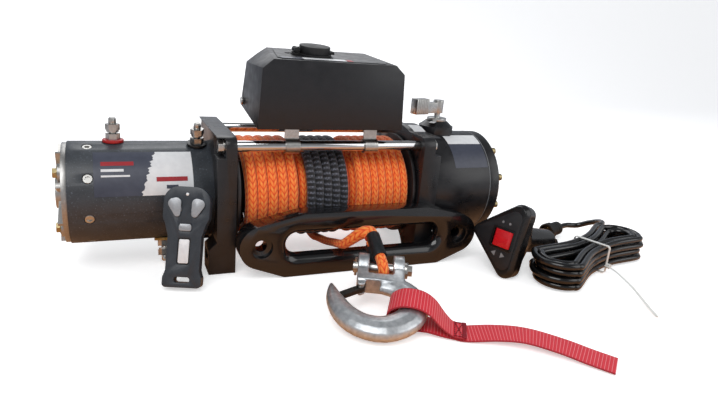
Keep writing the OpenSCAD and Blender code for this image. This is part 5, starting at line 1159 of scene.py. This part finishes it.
class WINCH_OT_control_box(bpy.types.Operator):
    """Finishes the control box, its clips and screws, the socket with its cap and the plain label"""

    bl_idname = "winch.control_box"
    bl_label = "Control Box"

    def execute(self, context):
        edge = context.scene.winch_sizes.box_edge / MM
        dress([
            ("control_box_cover", "box_abs_black", "box_black", edge),
            ("control_box_base", "casting_powder_coated_black", "bracket_black", 0.0),
            ("contactor", "box_abs_black", "box_black", 0.0),
            ("box_straps", "steel_zinc_plated", "zinc", 0.4),
            ("box_screws", "steel_zinc_plated", "zinc", 0.4),
            ("socket_housing", "rubber_matt_black", "rubber", 0.4),
            ("socket_cap", "rubber_matt_black", "rubber", 0.8),
        ])
        # A low raised panel on the roof, and the label on its front edge
        outline = [(-60, -31), (60, -31), (65, -25), (57, 26), (-57, 26), (-65, -25)]
        panel = plate("roof_panel", outline, 0.9, AT_ROOF @ placed((16, 1, -0.2)))
        hole = turned("panel_hole", [(20.2, -5), (20.2, 5)], 48)
        tab = plate("tab_hole", rounded_outline(30, 16, 2), 10, placed((-18, 0, -5)))
        opened(panel, put(hole, AT_ROOF))
        opened(panel, put(tab, AT_ROOF))
        settle(panel, "box_abs_black")
        for name, middle, wide, finish_name, slot in (
            ("roof_label_dark", -34, 24, "label_vinyl_slate", "can_grey"),
            ("roof_label_white", 4, 50, "label_vinyl_white", "tie_white"),
            ("roof_label_red", 33.5, 7, "label_vinyl_red", "rocker_red"),
        ):
            label = plate(name, rounded_outline(wide, 9, 0.4), 0.2, AT_ROOF @ placed((middle, -25, 0.72)))
            settle(label, finish_name)
        return {"FINISHED"}


class WINCH_OT_hook(bpy.types.Operator):
    """Finishes the fairlead, the forged hook, its pin, latch and spring"""

    bl_idname = "winch.hook"
    bl_label = "Fairlead and Hook"

    def execute(self, context):
        softened("hook", "hook_forged_zinc", 1.1, 5)
        dress([
            ("fairlead", "fairlead_gloss_black", "bracket_black", 0.8),
            ("clevis_pin", "steel_zinc_plated", "zinc", 0.5),
            ("hook_latch", "latch_dark_steel", "latch_dark", 0.4),
        ])
        # Two turns of the latch's spring
        coil_r, coil_from, coil_pitch, wire_r, turns, steps = 3.2, 1.9, 1.15, 0.35, 2, 24
        coil = []
        for n in range(turns * steps + 1):
            a = 2 * math.pi * n / steps
            coil.append((coil_r * math.cos(a), coil_r * math.sin(a), coil_from + coil_pitch * n / steps))
        spring = put(tube("latch_spring_wire", coil, wire_r, 8), AT_LATCH)
        settle(spring, "steel_zinc_plated", "hook", ["latch_spring"])
        return {"FINISHED"}


class WINCH_OT_strap(bpy.types.Operator):
    """Lays the pull strap through the hook, with its sewn joint"""

    bl_idname = "winch.strap"
    bl_label = "Pull Strap"

    def execute(self, context):
        # The strap's route through the hook and away from it, in shares of the hook's length
        loop_shares = (
            (0.456, 0, 0.030), (0.368, 0, 0.033), (0.298, 0, 0.075), (0.237, 0, 0.132), (0.171, 0, 0.199),
            (0.092, 0, 0.247), (0, 0, 0.266), (-0.110, 0, 0.256), (-0.191, 0, 0.206), (-0.213, 0, 0.145),
            (-0.180, 0, 0.087), (-0.089, 0, 0.056), (0.018, 0, 0.045), (0.140, 0, 0.038),
            (0.263, 0, 0.022), (0.368, 0, 0.014), (0.474, 0, 0.011))
        end_shares = (
            (0.728, 0.032, 0.044), (0.974, 0.035, 0.061), (1.259, -0.014, 0.044), (1.491, -0.083, 0.022),
            (1.684, -0.145, 0.011))
        turn = math.radians(STRAP_TURN)
        on = np.array([math.cos(turn), math.sin(turn), 0])
        aside = np.array([-on[1], on[0], 0])
        middle = np.array([PIN_AT[0] + 0.026 * HOOK_L, PIN_AT[1] - 0.640 * HOOK_L, 0])
        route = [middle + (on * a + aside * b + np.array([0, 0, c])) * HOOK_L
                 for a, b, c in loop_shares + end_shares]
        steps, width, thick = 8, 32.0, 1.6
        line = smooth(route, steps)
        ways = np.gradient(line, axis=0)
        along = travelled(line)
        # Places across the strap as shares of its half width, and the height of its faces there
        across = [(-1.0, 0.25), (-0.97, 0.8), (-0.9, 1.0), (-0.45, 0.92), (0, 1.0), (0.45, 0.92), (0.9, 1.0),
                  (0.97, 0.8), (1.0, 0.25)]
        outline = [(s, h) for s, h in across] + [(s, -h) for s, h in reversed(across)]
        points = []
        for n, way in enumerate(ways):
            # The loop leans over by its bank, and the tail lies flat
            t = n / steps / (len(loop_shares) - 1)
            bank = 0.18 * max(0.0, min(1.0, 8 * t - 0.7, 6.5 - 8 * t))
            level = on if t < 1 else unit((way[0], way[1], 0))
            side = -unit((-level[1], level[0], bank))
            up = unit(np.cross(side, way))
            points += [line[n] + side * s * width / 2 + up * h * thick / 2 for s, h in outline]
        round_it = [0.5 + s / 2 for s, h in outline + outline[:1]]
        strap = skinned("pull_strap_webbing", points, along, round_it, 0.5)
        settle(strap, "strap_webbing_red", "hook", ["pull_strap"], angle=50)

        # Stitches in a box with a cross, where the loop is sewn to the tail
        stitch = turned("stitch", [(0.1, -1.4), (0.45, -1.1), (0.55, 0), (0.45, 1.1), (0.1, 1.4)], 6)
        put(stitch, Matrix.Rotation(math.radians(90), 4, "Y"))
        low, high, half_width, top = 0.372 * HOOK_L, 0.442 * HOOK_L, 13.6, 4.75
        corners = {(i, j): middle + on * (low, high)[i] + aside * half_width * (-1, 1)[j] + (0, 0, top)
                   for i in (0, 1) for j in (0, 1)}
        rows = (((0, 0), (1, 0)), ((0, 1), (1, 1)), ((0, 0), (0, 1)), ((1, 0), (1, 1)), ((0, 0), (1, 1)),
                ((0, 1), (1, 0)))
        seams = [grown("stitch_row", "Row of pieces", {
            "Piece": stitch, "Count": context.scene.winch_sizes.stitches,
            "Start": list(corners[a] * MM), "End": list(corners[b] * MM),
            "Finish": finish("thread_polyester")}) for a, b in rows]
        bpy.data.objects.remove(stitch)
        # The end of the webbing is folded over and sewn down across the strap
        fold = plate("strap_fold", rounded_outline(3.4, width - 1, 1.2), thick,
                     placed(middle + on * 0.458 * HOOK_L + (0, 0, 3.3), STRAP_TURN), 0.4)
        seam = settle(joined("strap_stitches", [*seams, fold]), "thread_polyester", "hook")
        return {"FINISHED"}


class WINCH_OT_wireless(bpy.types.Operator):
    """Finishes the wireless remote, its keys, its window and its lamp"""

    bl_idname = "winch.wireless"
    bl_label = "Wireless Remote"

    def execute(self, context):
        dress([
            ("wireless_case", "remote_abs_slate", "remote_grey", 1.3),
            *((f"wireless_button_{key}", "key_silver_abs", "key_silver", 0.5)
              for key in ("in", "out", "power")),
        ])
        face = AT_POCKET @ Matrix.Translation((0, -0.015, 0)) @ FACING
        # Pear-shaped caps on the two large keys, wider above than below
        for side, body in ((-1, "button_in"), (1, "button_out")):
            at = face @ placed((side * 11, 84, 1.15)) @ Matrix.Rotation(math.radians(-16 * side), 4, "Z")
            pear = hull_outline([(-1.4, 4.2, 5.4), (0, -7.0, 3.4), (1.4, 4.2, 5.4)])
            cap = plate(body + "_cap", pear, 0.9, at, 0.35)
            settle(cap, "key_silver_abs", body)
        window_at = (0, 38)
        recess = plate("window_recess", rounded_outline(12.8, 27.8, 1.9, window_at), 0.15,
                       face @ placed((0, 0, -0.98)))
        settle(recess, "window_recess_dark")
        window = plate("window_pane", rounded_outline(10.6, 25, 1.5, window_at), 0.5,
                       face @ placed((0, 0, -0.9)), 0.2)
        settle(window, "window_white")
        lamp = turned("window_lamp", [(1.6, 0), (1.6, 0.3), (1.2, 0.7), (0.5, 0.9)], 20)
        settle(put(lamp, face @ placed((0, 98, 0))), "window_white")
        return {"FINISHED"}


class WINCH_OT_handset(bpy.types.Operator):
    """Finishes the wired remote: its shell, face, rocker, frame and marks"""

    bl_idname = "winch.handset"
    bl_label = "Wired Remote"

    def execute(self, context):
        softened("handset_shell", "handset_soft_shell", 1.1, 4)
        dress([("rocker_switch", "rocker_red_gloss", "rocker_red", 0.8)])
        rocker = finish("rocker_red_gloss").node_tree.nodes["Shades"]
        rocker.inputs[6].default_value = list(context.scene.winch_colours.rocker)
        face = AT_HANDSET @ FACING
        rocker_at = (0, 47)
        panel = plate("handset_face", hull_outline([(-28, 47, 10), (9, 20, 10), (9, 74, 10)]), 1.1,
                      face @ placed((0, 0, -0.6)), 0.4)
        ring = plate("rocker_frame", rounded_outline(33, 28, 3, rocker_at), 1.4,
                     face @ placed((0, 0, -0.5)), 0.5)
        for piece in (panel, ring):
            gap = rounded_outline(26.6, 21.8, 0.6, rocker_at)
            opened(piece, plate("rocker_gap", gap, 12, face @ placed((0, 0, -6))))
        settle(panel, "handset_face_grained")
        settle(ring, "handset_soft_shell")
        marks = [plate("mark", outline, 0.2, face @ placed((x, y, 0.45))) for x, y, outline in (
            (-6, 27, [(-4, 0), (2, -3.4), (2, 3.4)]), (6, 27, [(4, 0), (-2, 3.4), (-2, -3.4)]),
            (-5, 67, rounded_outline(3, 3, 1.4)), (5, 67, rounded_outline(3, 3, 1.4)))]
        settle(joined("handset_marks", marks), "mark_grey_print")
        return {"FINISHED"}


OPERATORS = (
    WINCH_OT_stage, WINCH_OT_cable, WINCH_OT_rope_end, WINCH_OT_winding, WINCH_OT_frame, WINCH_OT_motor,
    WINCH_OT_gearbox, WINCH_OT_control_box, WINCH_OT_hook, WINCH_OT_strap, WINCH_OT_wireless,
    WINCH_OT_handset,
)


class WINCH_PT_panel(bpy.types.Panel):
    """Lists the pieces of the winch with their sizes and colours"""

    bl_idname = "WINCH_PT_panel"
    bl_label = "Recovery Winch"
    bl_space_type = "VIEW_3D"
    bl_region_type = "UI"
    bl_category = "Winch"

    def draw(self, context):
        for group in (context.scene.winch_sizes, context.scene.winch_colours):
            for name in group.__annotations__:
                self.layout.prop(group, name)
        for operator in OPERATORS:
            self.layout.operator(operator.bl_idname)


CLASSES = (WinchSizes, WinchColours, *OPERATORS, WINCH_PT_panel)


def register():
    """Registers the classes and hangs the properties on the scene."""
    for each in CLASSES:
        bpy.utils.register_class(each)
    bpy.types.Scene.winch_sizes = bpy.props.PointerProperty(type=WinchSizes)
    bpy.types.Scene.winch_colours = bpy.props.PointerProperty(type=WinchColours)


def unregister():
    """Takes the properties and the classes away again."""
    del bpy.types.Scene.winch_sizes
    del bpy.types.Scene.winch_colours
    for each in reversed(CLASSES):
        bpy.utils.unregister_class(each)


def main():
    """Builds the whole winch."""
    register()
    for operator in OPERATORS:
        group, name = operator.bl_idname.split(".")
        getattr(getattr(bpy.ops, group), name)()


if __name__ == "__main__":
    main()
